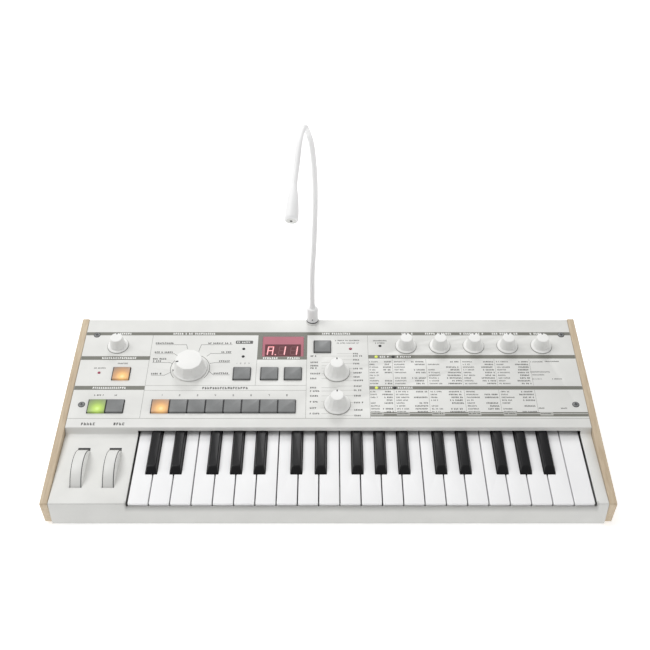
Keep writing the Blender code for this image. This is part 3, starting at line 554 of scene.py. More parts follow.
# %%
cheek = fillet([(3.7, 2.0), (0.0, 30.4), (SIDE_DEPTH, 63.0), (SIDE_DEPTH, 2.0)], {0: 1.5, 1: 2.0, 2: 2.0, 3: 2.0}, 6)
for name, x in (("wood_side_left", -WIDTH / 2), ("wood_side_right", WIDTH / 2 - SIDE)):
    piece(name + "_board", [across(cheek[::-1], x, x + SIDE, 0.6)], WOOD, stands_for=[name])

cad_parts["bottom_case"].data.materials.clear()
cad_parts["bottom_case"].data.materials.append(CASE)
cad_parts["keybed_chassis"].data.materials.clear()
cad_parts["keybed_chassis"].data.materials.append(ZINC)
feet = [(sx * 228.0, d) for sx in (-1, 1) for d in (24.0, 204.0)]
pads = [lathe([(8.0, 0.0), (9.2, 0.8), (9.2, 2.6)], p) for p in feet]
piece("rubber_feet", pads, RUBBER)
screws = [lathe([(1.0, 2.2), (2.6, 2.2), (2.9, 2.6), (2.9, 3.0)], (x, d), 32) for x in (-240, -120, 0, 120, 240) for d in (12, 218)]
piece("underside_screws", screws, STEEL)

# %% [markdown]
# ## White keys
#
# A key is a plate with a notch beside each black neighbour. In a run of n white keys with n - 1 black ones
# every white tail is equally wide, (n p - (n - 1) b) / n for pitch p and black width b, which fixes every
# black key's place. The plan is filleted, then pulled up into a slab whose top edge rolls over 0.45 mm:
# that thin highlight is what separates neighbours on a real keyboard.

# %%
BLACK_W, BLACK_TOP_W, BLACK_FRONT, BLACK_TOP_FRONT, BLACK_RISE = 10.4, 7.0, 34.6, 41.1, 4.8
KEY_GAP, KEY_END, KEY_DEPTH = 1.15, 90.0, 9.0
NAMES = "cdefgab"


def run_of(white):
    """First key and length of the run of white keys around one."""
    octave, step = divmod(white, 7)
    if white == WHITE_COUNT - 1:
        return white, 1
    return (octave * 7, 3) if step < 3 else (octave * 7 + 3, 4)


def sharp_after(white):
    """x of the black key after a white one, or None."""
    first, n = run_of(white)
    k = white - first
    if k == n - 1:
        return None
    tail = (n * PITCH - (n - 1) * BLACK_W) / n
    return KEYS_LEFT + first * PITCH + (k + 1) * tail + (k + 0.5) * BLACK_W


def white_plan(white):
    """Plan of a white key, anticlockwise from its front left corner."""
    left = KEYS_LEFT + white * PITCH + KEY_GAP / 2
    right = left + PITCH - KEY_GAP
    before = sharp_after(white - 1) if white else None
    after = sharp_after(white)
    plan, radii = [(left, 0), (right, 0)], {0: 0.9, 1: 0.9}
    shoulder = BLACK_FRONT - 0.5
    high, low = right, left
    if after is not None:
        high = after - BLACK_W / 2 - 0.5
        plan += [(right, shoulder), (high, shoulder)]
    if before is not None:
        low = before + BLACK_W / 2 + 0.5
    plan += [(high, KEY_END), (low, KEY_END)]
    if before is not None:
        plan += [(low, shoulder), (left, shoulder)]
    return fillet(plan, {**radii, **{i: 0.6 for i in range(2, len(plan))}}, 3)


for white in range(WHITE_COUNT):
    octave, step = divmod(white, 7)
    node = "white_key_%s%d" % (NAMES[step], octave + 3)
    plan = white_plan(white)
    piece(node + "_shell", [slab(plan, -KEY_DEPTH, 0.0, 0.45, 4)], WHITE, node, KEYS, [node])

# %% [markdown]
# ## Black keys
#
# A black key is a stack of rounded rectangles. At height z its half width is b (1 - z/h) + t z/h, and its
# front slopes back along the same line; over the last 0.9 mm both roll over a quarter circle. The slight
# waist between the sloping front and the flat top comes from the same blend.

# %%
def black_solid(x):
    rows = []
    roll = 0.9
    levels = [(-8.0, 0.0), (0.0, 0.0), (1.5, 0.0), (3.0, 0.0)]
    levels += [(BLACK_RISE - roll * (1 - math.sin(t)), roll * (1 - math.cos(t))) for t in np.linspace(0, np.pi / 2, 6)]
    for z, s in levels:
        f = max(z, 0.0) / BLACK_RISE
        half = BLACK_W / 2 * (1 - f) + (BLACK_TOP_W / 2 + 0.45) * f - 0.6 * s
        front = BLACK_FRONT * (1 - f) + (BLACK_TOP_FRONT - 0.7) * f + s
        plan = fillet(rect(x - half, x + half, front, KEY_END), {0: 1.1, 1: 1.1}, 4)
        rows.append(np.column_stack([plan, np.full(len(plan), z)]))
    return loft(rows)


for white in range(WHITE_COUNT):
    x = sharp_after(white)
    if x is not None:
        octave, step = divmod(white, 7)
        node = "black_key_%s_sharp%d" % (NAMES[step], octave + 3)
        piece(node + "_shell", [black_solid(x)], BLACK, node, KEYS, [node], sharp=50)

# %% [markdown]
# ## Wheels
#
# Each wheel is most of a half disc with a round hub below it. Points run along the rim,
# (d, z) = R (sin a, cos a), and back round the hub; the rim's edges roll over 1 mm so that the wheel
# catches a long soft highlight. The bore for the axle is cut out afterwards.

# %%
a = np.radians(np.linspace(84, -84, 61))
rim = np.column_stack([-WHEEL_R * np.sin(a), WHEEL_R * np.cos(a)])
b = np.radians(np.linspace(110, 250, 15))
hub = np.column_stack([7.0 * np.sin(b), 7.0 * np.cos(b)])
side = np.vstack([rim, hub])[::-1] + (WHEEL_D, WHEEL_Z)
for node, x in WHEELS.items():
    wheel = build(node + "_rim", [across(side, x - WHEEL_W / 2, x + WHEEL_W / 2, 1.0)])
    bore = across(circle(WHEEL_D, WHEEL_Z, 2.85, 32), x - WHEEL_W, x + WHEEL_W)
    carve(wheel, [bore])
    wheel.data.shade_smooth()
    wheel.data.set_sharp_from_angle(angle=math.radians(35))
    dress(wheel, CASE, node, [node])
    # Painted shadow: two thin dark tubes along each wheel's rim edges draw the shadow in the gap between the wheel and
    # its slot.
    edges = []
    for sign in (-1, 1):
        arc = rim[4:-4] * (WHEEL_R - 0.25) / WHEEL_R + (WHEEL_D, WHEEL_Z)
        path = np.column_stack([np.full(len(arc), x + sign * (WHEEL_W / 2 - 0.27)), arc])
        edges.append(sweep(path, 0.3, 8))
    piece(node + "_edges", edges, DARK, node)
    # Thin plates beside each wheel stand for its raised housing; they are made in the lighter, faintly glowing knob
    # plastic, a painted light that keeps the wheel's shaded sides light.
    arc = circle(WHEEL_D, WHEEL_Z, WHEEL_R - 0.7, 96)
    arc = arc[arc[:, 1] > WHEEL_Z + 12.0]
    lightened_housing = [across(arc, x + WHEEL_W / 2 + 0.08, x + WHEEL_W / 2 + 0.62), across(arc, x - WHEEL_W / 2 - 0.62, x - WHEEL_W / 2 - 0.08)]
    piece(node + "_lightened_housing", lightened_housing, KNOB)
    # Painted shadow: thin dark plates on the deck at both ends of each wheel slot stand for the shade inside the slot.
    low, high = x - WHEEL_W / 2 - 0.6, x + WHEEL_W / 2 + 0.6
    slot_shadows = [slab(rect(low, high, 65.4, 67.2), 0.0, 0.12), slab(rect(low, high, 22.0, 22.6), 0.0, 0.12)]
    piece(node + "_slot_end_shadows", slot_shadows, DARK, home=DECK)

# %% [markdown]
# ## Knobs
#
# Each knob is turned from a (radius, height) profile with a blind bore for its shaft. The two edit knobs
# carry twelve facets on the flare, the program dial has ten shallow ones, and the five control knobs are
# plain cones on a thin skirt. The facet weight fades to zero at the skirt, which stays round.

# %%
def knob_profile(skirt, thick, body, height):
    """Bore, skirt, then the given (radius, height, facet weight) rows and the rolled top edge."""
    r, z, w = body[-1]
    roll = 0.8
    rows = [(1.0, 8.3), (3.35, 8.3), (3.35, 0.3), (skirt - 0.2, 0.3), (skirt, 0.5), (skirt, thick - 0.2), (skirt - 0.2, thick)]
    rows += body[:-1]
    for t in np.linspace(0, np.pi / 2, 5):
        rows.append((r - roll * (1 - math.cos(t)), height - roll * (1 - math.sin(t)), w))
    return rows + [(r - 2.5, height, 0.0), (1.0, height, 0.0)]


def at(x, v, h=0.0):
    """A frame on the panel, moved to (x, v) and up by h."""
    c, s = math.cos(SLOPE), math.sin(SLOPE)
    return (x, v * c - h * s, PANEL_BASE + v * s + h * c, SLOPE)


SMALL = knob_profile(10.7, 1.0, [(8.3, 1.2), (8.15, 1.8), (6.3, 13.0, 0.0)], 13.0)
EDIT = knob_profile(12.85, 1.5, [(11.9, 1.7, 0.2), (10.9, 3.0, 0.7), (9.6, 5.2, 1.0), (8.6, 8.0, 1.0), (7.6, 12.0, 1.0), (6.75, 15.0, 0.9)], 15.0)
DIAL = knob_profile(17.5, 1.7, [(16.9, 1.9, 0.3), (16.2, 2.6, 0.8), (15.2, 7.0, 1.0), (13.75, 14.0, 0.8)], 14.0)


def pointer(angle, r0, r1, width, z, thick=0.08):
    """A thin bar from radius r0 to r1 at an angle from the rear, turned anticlockwise."""
    bar = slab(rect(-width / 2, width / 2, r0, r1), z, z + thick)
    c, s = math.cos(angle), math.sin(angle)
    p = bar[0]
    return np.column_stack([p[:, 0] * c - p[:, 1] * s, p[:, 0] * s + p[:, 1] * c, p[:, 2]]), bar[1], bar[2]


for node, (x, v) in zip(["volume_knob"] + ["control_knob_%d" % k for k in range(1, 6)], [SHAFTS[0]] + SHAFTS[4:]):
    piece(node + "_body", [lathe(SMALL, facets=14)], KNOB, node, at(x, v), [node])
    piece(node + "_pointer", [pointer(0.0, 4.2, 6.0, 1.3, 13.0)], DARK, node, at(x, v))
for k, (x, v) in enumerate(SHAFTS[2:4], 1):
    node = "edit_select_knob_%d" % k
    piece(node + "_body", [lathe(EDIT, sides=144, facets=12)], KNOB, node, at(x, v), [node], sharp=50)
    piece(node + "_pointer", [pointer(0.0, 4.4, 6.5, 1.3, 15.0)], DARK, node, at(x, v))
x, v = SHAFTS[1]
piece("program_dial_body", [lathe(DIAL, sides=160, facets=10)], KNOB, "program_dial", at(x, v), ["program_dial"], sharp=50)
mark = math.radians(103)
piece("program_dial_pointer", [pointer(mark, 10.4, 13.1, 1.5, 14.0), pointer(mark, 15.6, 17.62, 2.0, 0.4, 1.5)], DARK, "program_dial", at(x, v))

# %% [markdown]
# ## Buttons
#
# Each cap is a slab with a rolled top edge, standing 2 mm above the panel. Caps that share a carrier move
# together, so a lit cap is a second piece on the same body. Their plungers reach down to the switches.

# %%
def cap(x, v):
    plan = rect(x - CAP_W / 2 + 0.75, x + CAP_W / 2 - 0.15, v - CAP_L / 2 + 0.1, v + CAP_L / 2 - 0.25)
    return slab(fillet(plan, 0.4, 4), -2.45, CAP_RISE, 0.4, 4)


def skirt(x, v):
    """The dark foot of a cap, which fills most of the gap around it: it stands for the dark slot and paints the shadow
    on the cap's lower sides.
    """
    return slab(rect(x - CAP_W / 2 - 0.12, x + CAP_W / 2 + 0.1, v - CAP_L / 2 + 0.3, v + CAP_L / 2 + 0.15), -2.4, 1.2)


def carrier(caps):
    """The plate under a row of caps and a plunger for each."""
    xs = [x for x, v in caps]
    base = min(v for x, v in caps)
    row = [c for c in caps if c[1] == base]
    solids = [cuboid((min(xs) - 9.5, base - 8.9, -3.7), (max(xs) + 9.5, base + 8.9, -2.5))]
    solids += [cuboid((x - 9.5, base + 8.95, -3.7), (x + 9.5, v + 8.9, -2.5)) for x, v in caps if v > base]
    solids += [cuboid((x - 1.5, v - 1.5, -7.4), (x + 1.5, v + 1.5, -3.75)) for x, v in caps]
    return solids


def lamp(x, v, h=0.5):
    return tuple(float(c) for c in to_row([(x, v, h)], PANEL)[0])


ORANGE = [(0.0, (1.0, 0.84, 0.50)), (0.2, (0.88, 0.53, 0.20)), (0.5, (0.56, 0.31, 0.15)), (1.0, (0.24, 0.19, 0.16))]
LIME = [(0.0, (0.72, 0.95, 0.36)), (0.2, (0.47, 0.66, 0.13)), (0.5, (0.29, 0.40, 0.12)), (1.0, (0.16, 0.18, 0.14))]
ARP, PROGRAM, OCTAVE = (-210.2, MIDDLE), (-165.8, LOWER), (-228.2, LOWER)
AMBER_1 = glow("amber_cap_1", lamp(ARP[0] + 2.0, ARP[1] - 5.0), 15, ORANGE, 0.27)
AMBER_2 = glow("amber_cap_2", lamp(PROGRAM[0] + 1.5, PROGRAM[1] - 4.0), 15, ORANGE, 0.27)
LIME_1 = glow("lime_cap", lamp(OCTAVE[0] + 1.5, OCTAVE[1] - 4.0), 15, LIME, 0.27)

octave = [(OCTAVE[0] + CAP_PITCH * i, LOWER) for i in range(2)]
program = [(PROGRAM[0] + CAP_PITCH * i, LOWER) for i in range(8)]
function = [(-87.8, MIDDLE), (-60.0, MIDDLE), (-36.0, MIDDLE), (-6.2, UPPER)]
piece("arpeggiator_cap", [cap(*ARP)], AMBER_1, "arpeggiator_button", PANEL, ["arpeggiator_button"])
for name, caps in (("arpeggiator_button", [ARP]), ("octave_buttons", octave), ("program_buttons", program), ("function_buttons", function)):
    # Painted shadow: the dark skirts fill the gaps round the caps, standing for the dark slots and the shaded lower
    # sides of the caps.
    piece(name + "_gap_shadow_skirts", [skirt(*c) for c in caps], DARK, name, PANEL)
piece("arpeggiator_carrier", carrier([ARP]), GREY, "arpeggiator_button", PANEL)
piece("octave_lit_cap", [cap(*octave[0])], LIME_1, "octave_buttons", PANEL)
piece("octave_cap", [cap(*octave[1])] + carrier(octave), GREY, "octave_buttons", PANEL, ["octave_buttons"])
piece("program_lit_cap", [cap(*program[0])], AMBER_2, "program_buttons", PANEL)
piece("program_caps", [cap(*c) for c in program[1:]] + carrier(program), GREY, "program_buttons", PANEL, ["program_buttons"])
piece("function_caps", [cap(*c) for c in function] + carrier(function), GREY, "function_buttons", PANEL, ["function_buttons"])

# %% [markdown]
# ## Display
#
# A red filter lies over a dark module with three digits, in a grey printed surround. Each digit is a
# few of seven slanted bars: a and d across the top and bottom, g across the middle, f, e, b and c at
# the sides. Generic numbers stand for whatever program is chosen.

# %%
SEGMENTS = {"1": "bc", "2": "abged", "3": "abgcd", "4": "fgbc", "5": "afgcd", "6": "afgedc", "7": "abc", "8": "abcdefg", "A": "abcefg"}


def seven(char, x, v, w, h, t, z, high, lean=0.1):
    """The lit bars of one digit, its foot's middle at (x, v)."""
    bars = {
        "a": (0, w, h - t, h), "g": (0, w, h / 2 - t / 2, h / 2 + t / 2), "d": (0, w, 0, t),
        "f": (0, t, h / 2, h), "e": (0, t, 0, h / 2), "b": (w - t, w, h / 2, h), "c": (w - t, w, 0, h / 2),
    }
    out = []
    for key in SEGMENTS[char]:
        p = rect(*bars[key])
        p[:, 0] += lean * p[:, 1] + x - w / 2
        p[:, 1] += v
        out.append(slab(inset(p, 0.04 * t), z, high))
    return out


RED = plastic("red_filter", (0.34, 0.12, 0.15), 0.6, vary=0.08, grain=0.0)
# Painted glow: the whole red filter gives off a dim red light of its own, not only where the digits behind it are lit.
RED.node_tree.nodes["Principled BSDF"].inputs["Emission Color"].default_value = (0.55, 0.14, 0.20, 1.0)
RED.node_tree.nodes["Principled BSDF"].inputs["Emission Strength"].default_value = 0.22
MODULE = plastic("display_module", (0.11, 0.022, 0.03), 0.6, vary=0.15)
GHOST = plastic("unlit_segments", (0.20, 0.07, 0.08), 0.6, vary=0.1)
LIT = glow("lit_segments", lamp(-46.0, 188.0), 25, [(0.0, (0.95, 0.40, 0.42)), (1.0, (0.90, 0.34, 0.37))], 0.45)
x0, x1, v0, v1 = DISPLAY
piece("display_filter", [slab(fillet(rect(x0 + 0.2, x1 - 0.2, v0 + 0.2, v1 - 0.2), 0.6), -1.4, -0.25, 0.2)], RED, home=PANEL)
piece("display_dark_module", [slab(rect(-65.8, -28.4, 180.3, 196.9), -0.24, -0.18)], MODULE, home=PANEL)
digits = seven("A", -60.6, 182.3, 6.4, 11.6, 1.25, -0.17, -0.1) + seven("1", -47.6, 182.3, 5.2, 11.6, 1.25, -0.17, -0.1)
digits += seven("1", -35.0, 182.3, 5.2, 11.6, 1.25, -0.17, -0.1)
digits.append(lathe([(0.7, -0.17), (0.7, -0.1)], (-54.7, 182.6), 16))
piece("display_digits", digits, LIT, home=PANEL)
ghosts = seven("8", -49.0, 182.3, 6.4, 11.6, 1.0, -0.19, -0.172) + seven("8", -36.9, 182.3, 6.4, 11.6, 1.0, -0.19, -0.172)
piece("display_unlit_bars", ghosts, GHOST, home=PANEL)

# %% [markdown]
# ## Printing
#
# Ink is real geometry here: every stripe, rule and mark is a plate 0.05 mm thick lying on the panel, and
# all plates of one ink are one piece. Small print is only suggested. `words` sets a line of marks with the
# rhythm of letters, three or four strokes each, so that it reads as print at arm's length and says
# nothing close up. `line` is a thin bar between two points, ends square to its direction.

# %%
INK_LOW, INK_HIGH = 0.01, 0.06


def plate(x0, x1, v0, v1, high=INK_HIGH):
    return slab(rect(min(x0, x1), max(x0, x1), min(v0, v1), max(v0, v1)), INK_LOW, high)


def line(points, width=0.35, high=INK_HIGH):
    """Thin bars along a polyline."""
    out = []
    for p, q in zip(points, points[1:]):
        p, q = np.array(p, float), np.array(q, float)
        t = (q - p) / np.hypot(*(q - p)) * width / 2
        n = np.array([-t[1], t[0]])
        out.append(slab(np.array([p - t - n, q + t - n, q + t + n, p - t + n]), INK_LOW, high))
    return out


def words(x0, x1, v, size=1.7, high=INK_HIGH, seed=0, weight=0.27):
    """A row of letter-like marks from x0 to x1, its middle at v."""
    rng = np.random.default_rng(seed + int(abs(x0) * 10) + int(v * 7))
    out, x = [], x0
    while x + 0.6 * size <= x1 + 0.01:
        w = size * rng.uniform(0.5, 0.7)
        t = weight * size
        low, top = v - size / 2, v + size / 2
        kind = rng.integers(0, 5)
        out.append(plate(x, x + t, low, top, high))
        if kind in (0, 1, 3):
            out.append(plate(x + t, x + w, top - t, top, high))
        if kind in (1, 2):
            out.append(plate(x + t, x + w, low, low + t, high))
        if kind in (0, 2, 3):
            out.append(plate(x + t, x + w * 0.9, v - t / 2, v + t / 2, high))
        if kind in (3, 4):
            out.append(plate(x + w - t, x + w, low, top - t, high))
        x += w + size * (0.95 if rng.random() < 0.12 else 0.28)
    return out


EDGE = CASE_HALF - 0.3
stripes = [
    plate(-EDGE, EDGE, 209.7, 214.1), plate(-73.4, -21.9, 208.2, 209.6), plate(-73.4, -21.9, 175.6, 179.8),
    plate(-73.4, -68.7, 179.9, 208.1), plate(-25.4, -21.9, 179.9, 208.1),
    plate(-EDGE, -183.6, 175.2, 180.2), plate(41.3, EDGE, 177.0, 181.8),
    plate(-EDGE, -184.2, 135.2, 140.3), plate(41.3, EDGE, 135.6, 140.0),
    plate(41.3, EDGE, 105.2, 106.8), plate(41.3, EDGE, 101.4, 104.6),
]
piece("stripes", stripes, STRIPE, home=PANEL)

# %% [markdown]
# Thin rules divide the panel into fields, and leader lines run from the dial and the edit knobs to their
# lists. `line(points, width)` lays a flat ribbon of the given width along a path.

# %%
thin = []
thin += line([(-EDGE, 98.9), (EDGE, 98.9)], 0.4)
thin += line([(-184.0, 99.4), (-184.0, 209.4)], 0.35)
thin += line([(-184.0, 140.8), (-22.2, 140.8)], 0.3) + line([(-184.0, 134.4), (-22.2, 134.4)], 0.3)
thin += line([(-73.4, 141.0), (-73.4, 175.2)], 0.35)
thin += line([(-22.2, 99.4), (-22.2, 175.2)], 0.35)
thin += line([(41.1, 99.4), (41.1, 209.4)], 0.3)
leaders = [
    [(-179.6, 196.3), (-147.8, 196.3), (-146.1, 190.6)], [(-179.0, 183.6), (-159.2, 183.6), (-155.9, 181.0)],
    [(-180.0, 171.6), (-162.8, 171.6), (-159.7, 170.1)], [(-179.3, 154.4), (-166.1, 154.4), (-159.7, 158.7)],
    [(-100.3, 196.3), (-132.3, 196.3), (-134.2, 187.0)], [(-100.5, 184.0), (-121.6, 184.0), (-125.3, 180.2)],
    [(-101.0, 171.4), (-116.9, 171.4), (-121.2, 170.1)], [(-100.2, 154.9), (-116.5, 154.9), (-121.8, 159.9)],
]
dark = []
for path in leaders:
    dark += line(path, 0.4)
a = np.radians(np.linspace(-128, 128, 65))
ring = np.column_stack([SHAFTS[1][0] + 19.9 * np.sin(a), SHAFTS[1][1] + 19.9 * np.cos(a)])
dark += line(ring, 0.45)
piece("leaders_and_dial_ring", dark, INK, home=PANEL)
# Painted shadow: a grey ring round each knob, just outside its skirt, draws the shadow where the knob meets the panel.
for x, v in [SHAFTS[0]] + SHAFTS[4:]:
    thin += line(circle(x, v, 10.95, 49)[list(range(49)) + [0]], 0.5)
for x, v in SHAFTS[2:4]:
    thin += line(circle(x, v, 13.1, 61)[list(range(61)) + [0]], 0.4)
piece("panel_rules_and_knob_shadow_rings", thin, FAINT, home=PANEL)

# %% [markdown]
# Labels are rows of letter-like marks that say nothing: `words(x0, x1, v, size)` fills the width from x0 to
# x1 at panel height v.

# %%
small = []
for x0, x1, v in ((-180.1, -159.9, 198.4), (-179.6, -160.0, 185.8), (-180.3, -166.7, 176.6), (-179.9, -170.6, 173.4),
                  (-179.8, -168.7, 156.5), (-125.2, -100.6, 198.4), (-110.6, -99.7, 186.0), (-112.2, -101.0, 173.4),
                  (-116.4, -100.4, 157.1)):
    small += words(x0, x1, v, 2.1, weight=0.32)
small += words(-215.5, -204.1, 170.3, 1.7) + words(-238.7, -226.4, 164.0, 1.5)
small += words(-232.8, -223.0, 128.3, 1.7) + words(-212.6, -207.6, 128.3, 1.7)
small += words(-239.8, -225.0, 92.2, 3.2) + words(-208.3, -197.0, 92.2, 3.2)
small += words(-126.2, -79.8, 137.5, 2.9)
small += words(7.2, 33.2, 202.2, 1.6) + words(8.9, 32.2, 198.6, 1.5) + words(46.8, 61.3, 201.9, 1.5) + words(48.9, 58.8, 198.6, 1.5)
for k in range(8):
    small += seven(str(k + 1), -165.8 + CAP_PITCH * k, 127.0, 1.3, 2.4, 0.4, INK_LOW, INK_HIGH, 0.0)
    if k < 4:
        small += seven(str(k + 1), -94.0 + 4.2 * k, 169.5, 1.1, 1.9, 0.26, INK_LOW, INK_HIGH, 0.0)
piece("small_print", small, INK, home=PANEL)

# %% [markdown]
# ## Parameter tables
#
# Between the stripes on the right stand six columns of tiny print in two blocks, each row a short word at
# the left and a value at the right; the two edit knobs have their own lists at either side. The rows are
# spaced evenly and each word's length comes from a seeded generator, so the block is dense but never
# regular.

# %%
COLUMNS = [41.1, 66.6, 101.0, 136.6, 171.2, 207.0, 243.0]
table = []
rng = np.random.default_rng(12)
for top_v, rows, lasts in ((172.6, 9, 3), (132.8, 8, 0)):
    for c, (x0, x1) in enumerate(zip(COLUMNS, COLUMNS[1:])):
        wide = x1 - x0
        for r in range(rows):
            v = top_v - 3.65 * r
            if c == 5:
                continue
            if rng.random() < 0.9:
                table += words(x0 + 1.0, x0 + 1.0 + wide * rng.uniform(0.2, 0.38), v, 1.5, seed=r)
            if rng.random() < 0.85:
                end = x1 - 2.0
                table += words(end - wide * rng.uniform(0.25, 0.42), end, v, 1.7, seed=r + 50, weight=0.36)
table += words(207.3, 220.3, 172.5, 1.35) + words(222.2, 236.5, 173.0, 1.35) + words(205.4, 225.7, 158.8, 1.3)
table += words(207.0, 218.9, 154.9, 1.3) + words(206.2, 216.0, 149.5, 1.3) + words(226.2, 236.4, 149.5, 1.3)
table += words(207.0, 212.8, 111.8, 1.3) + words(228.9, 236.0, 111.6, 1.5)
LISTS = [
    (-18.2, 11.0, [180.3, 171.8, 167.2, 163.9, 156.6, 150.0, 138.0, 133.6, 127.4, 119.8, 112.0, 105.0]),
    (25.6, 10.6, [183.7, 180.5, 175.3, 170.1, 163.3, 157.7, 152.2, 147.6, 140.1, 134.6, 127.6, 118.9, 109.6, 102.6]),
]
rows_between = []
for start, width, rows in LISTS:
    for k, v in enumerate(rows):
        table += words(start, start + width * (0.6 + 0.4 * ((k * 37) % 10) / 10), v, 1.9, seed=k, weight=0.34)
        rows_between += line([(start + width + 0.4, v), (8.7, v)] if start < 0 else [(8.7, v), (start - 0.6, v)], 0.22)
piece("parameter_print", table, INK, home=PANEL)
piece("edit_select_rules", rows_between, FAINT, home=PANEL)

dividers = []
for x in COLUMNS[1:6]:
    dividers += line([(x - 0.9, 141.0), (x - 0.9, 176.0)], 0.3) + line([(x - 0.9, 107.4), (x - 0.9, 135.0)], 0.3)
piece("table_rules", dividers, FAINT, home=PANEL)

white_print = []
for x0, x1, v in ((-223.5, -206.0, 211.9), (-163.0, -118.0, 211.9), (-6.5, 24.5, 211.9), (77.2, 91.0, 211.9), (102.0, 130.2, 211.9),
                  (138.4, 163.6, 211.9), (172.3, 200.2, 211.9), (212.2, 226.1, 211.9), (-232.8, -195.7, 177.7),
                  (-236.0, -201.0, 137.7), (-67.1, -51.5, 177.5), (-42.2, -28.8, 177.5)):
    white_print += words(x0, x1, v, 2.5, INK_HIGH + 0.05, weight=0.34)
for x0, x1, v in ((53.2, 65.1, 179.4), (70.6, 86.2, 179.4), (52.8, 64.4, 137.8), (69.6, 85.4, 137.8)):
    white_print += words(x0, x1, v, 2.2, INK_HIGH + 0.05, weight=0.3)
piece("white_print", white_print, PALE, home=PANEL)
boxes = [plate(x + 0.4, x + 13.2, 102.6, 106.9, INK_HIGH + 0.05) for x in COLUMNS[:6]]
piece("column_labels", boxes, LABEL, home=PANEL)
labels = []
for x in COLUMNS[:6]:
    labels += words(x + 1.4, x + 12.0, 105.0, 1.4, INK_HIGH + 0.1)
piece("label_print", labels, INK, home=PANEL)

# %% [markdown]
# ## Lamps and screws
#
# Small lamps are low domes pressed into the panel, r(t) = R cos t, z(t) = H sin t. The panel screws sit a
# little below it in shallow dark rings, with a cross of two bars for the driver.

# %%
def dome(x, v, r, h=0.7):
    t = np.linspace(0, np.pi / 2 * 0.93, 6)
    return lathe([(r, -1.5)] + [(r * math.cos(k), h * math.sin(k)) for k in t], (x, v), 24)


RED_LAMP = plastic("red_lamp", (0.30, 0.005, 0.05), 0.2, vary=0.1, grain=0.0, coat=0.6)
YELLOW_LAMP = glow("yellow_lamp", lamp(48.8, 158.0), 30, [(0.0, (0.72, 0.80, 0.12)), (1.0, (0.60, 0.68, 0.08))], 0.35)
piece("red_lamps", [dome(-232.9, 157.8, 1.6), dome(23.0, 190.5, 1.7)], RED_LAMP, home=PANEL)
dark_lamps = [dome(-87.8, 190.4, 1.6), dome(-87.8, 179.8, 1.6), dome(53.8, 194.6, 1.6), dome(66.8, 179.4, 1.7), dome(66.5, 137.8, 1.7)]
piece("unlit_lamps", dark_lamps, DARK, home=PANEL)
piece("yellow_lamps", [dome(49.3, 179.4, 1.7), dome(48.3, 137.8, 1.7)], YELLOW_LAMP, home=PANEL)
SCREWS = [(-243.2, 210.0), (-243.5, 116.3), (244.8, 210.3), (244.2, 116.3)]
heads, crosses = [], []
for x, v in SCREWS:
    heads.append(lathe([(3.0, 0.02), (3.0, 0.25), (2.4, 0.6), (1.0, 0.75)], (x, v), 32))
    crosses += [slab(rect(x - 1.6, x + 1.6, v - 0.35, v + 0.35), 0.7, 0.8), slab(rect(x - 0.35, x + 0.35, v - 1.6, v + 1.6), 0.7, 0.82)]
wells = [slab(circle(x, v, 3.5, 40), INK_LOW, INK_HIGH + 0.06) for x, v in SCREWS]
piece("screw_wells", wells, DARK, home=PANEL)
piece("panel_screws", heads, GREY, home=PANEL)
piece("screw_crosses", crosses, DARK, home=PANEL)
bank = fillet(rect(-96.6, -78.6, 197.6, 201.9), 1.0)
piece("bank_label", [slab(bank, INK_LOW, INK_HIGH)], INK, home=PANEL)
piece("bank_label_print", words(-95.2, -80.0, 199.75, 2.0, INK_HIGH + 0.05), PALE, home=PANEL)

# %% [markdown]
# ## Gooseneck microphone
#
# The path is a smooth curve through measured points (a Catmull-Rom spline, whose tangent at each point is
# half the step between its neighbours). Fine ridges r = 2.75 + 0.09 cos(2 pi s / 1.6) make it a flexible
# conduit. One tube runs from the plug to the head.

# %%
ROUTE = np.array([
    (0.0, 0.0, 0.0), (0.0, 0.0, 30.0), (0.3, 0.0, 60.0), (2.0, 0.0, 90.0), (3.3, 0.0, 120.0),
    (4.1, 0.0, 150.0), (3.6, 0.0, 180.0), (1.3, -0.3, 208.0), (-1.6, -4.0, 222.0), (-3.6, -12.5, 232.2),
    (-5.2, -25.5, 238.8), (-7.0, -40.0, 241.2), (-8.6, -54.5, 238.9), (-9.8, -68.5, 233.2),
    (-11.1, -81.6, 226.8), (-12.4, -94.8, 219.8), (-14.4, -124.3, 203.7),
])
MIC_HOME = (MIC[0], MIC[1], boss_top, 0.0)


def spline(points, per=40):
    """Catmull-Rom through points: P(u) = (2P1 + (P2 - P0)u + (2P0 - 5P1 + 4P2 - P3)u^2 + (3P1 - P0 - 3P2 + P3)u^3) / 2."""
    p = np.vstack([points[:1], points, points[-1:]])
    u = np.linspace(0, 1, per, endpoint=False)[:, None]
    out = []
    for a, b, c, d in zip(p, p[1:], p[2:], p[3:]):
        out.append(0.5 * (2 * b + (c - a) * u + (2 * a - 5 * b + 4 * c - d) * u**2 + (3 * b - a - 3 * c + d) * u**3))
    return np.vstack(out + [points[-1:]])


curve = spline(ROUTE)
step_lengths = np.linalg.norm(np.diff(curve, axis=0), axis=1)
along = np.concatenate([[0.0], np.cumsum(step_lengths)])
total = along[-1]
print("gooseneck %.0f mm long" % total)


def on_curve(s):
    return np.column_stack([np.interp(s, along, curve[:, k]) for k in range(3)])


HEAD = 35.0
s = np.arange(19.0, total - HEAD + 1.0, 0.4)
neck = build("gooseneck", [sweep(on_curve(s), 2.75 + 0.09 * np.cos(2 * np.pi * s / 1.6), 20)], MIC_HOME, 60)
neck.data.materials.append(SLEEVE)
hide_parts("microphone_stem", "microphone_head")
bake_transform(neck)

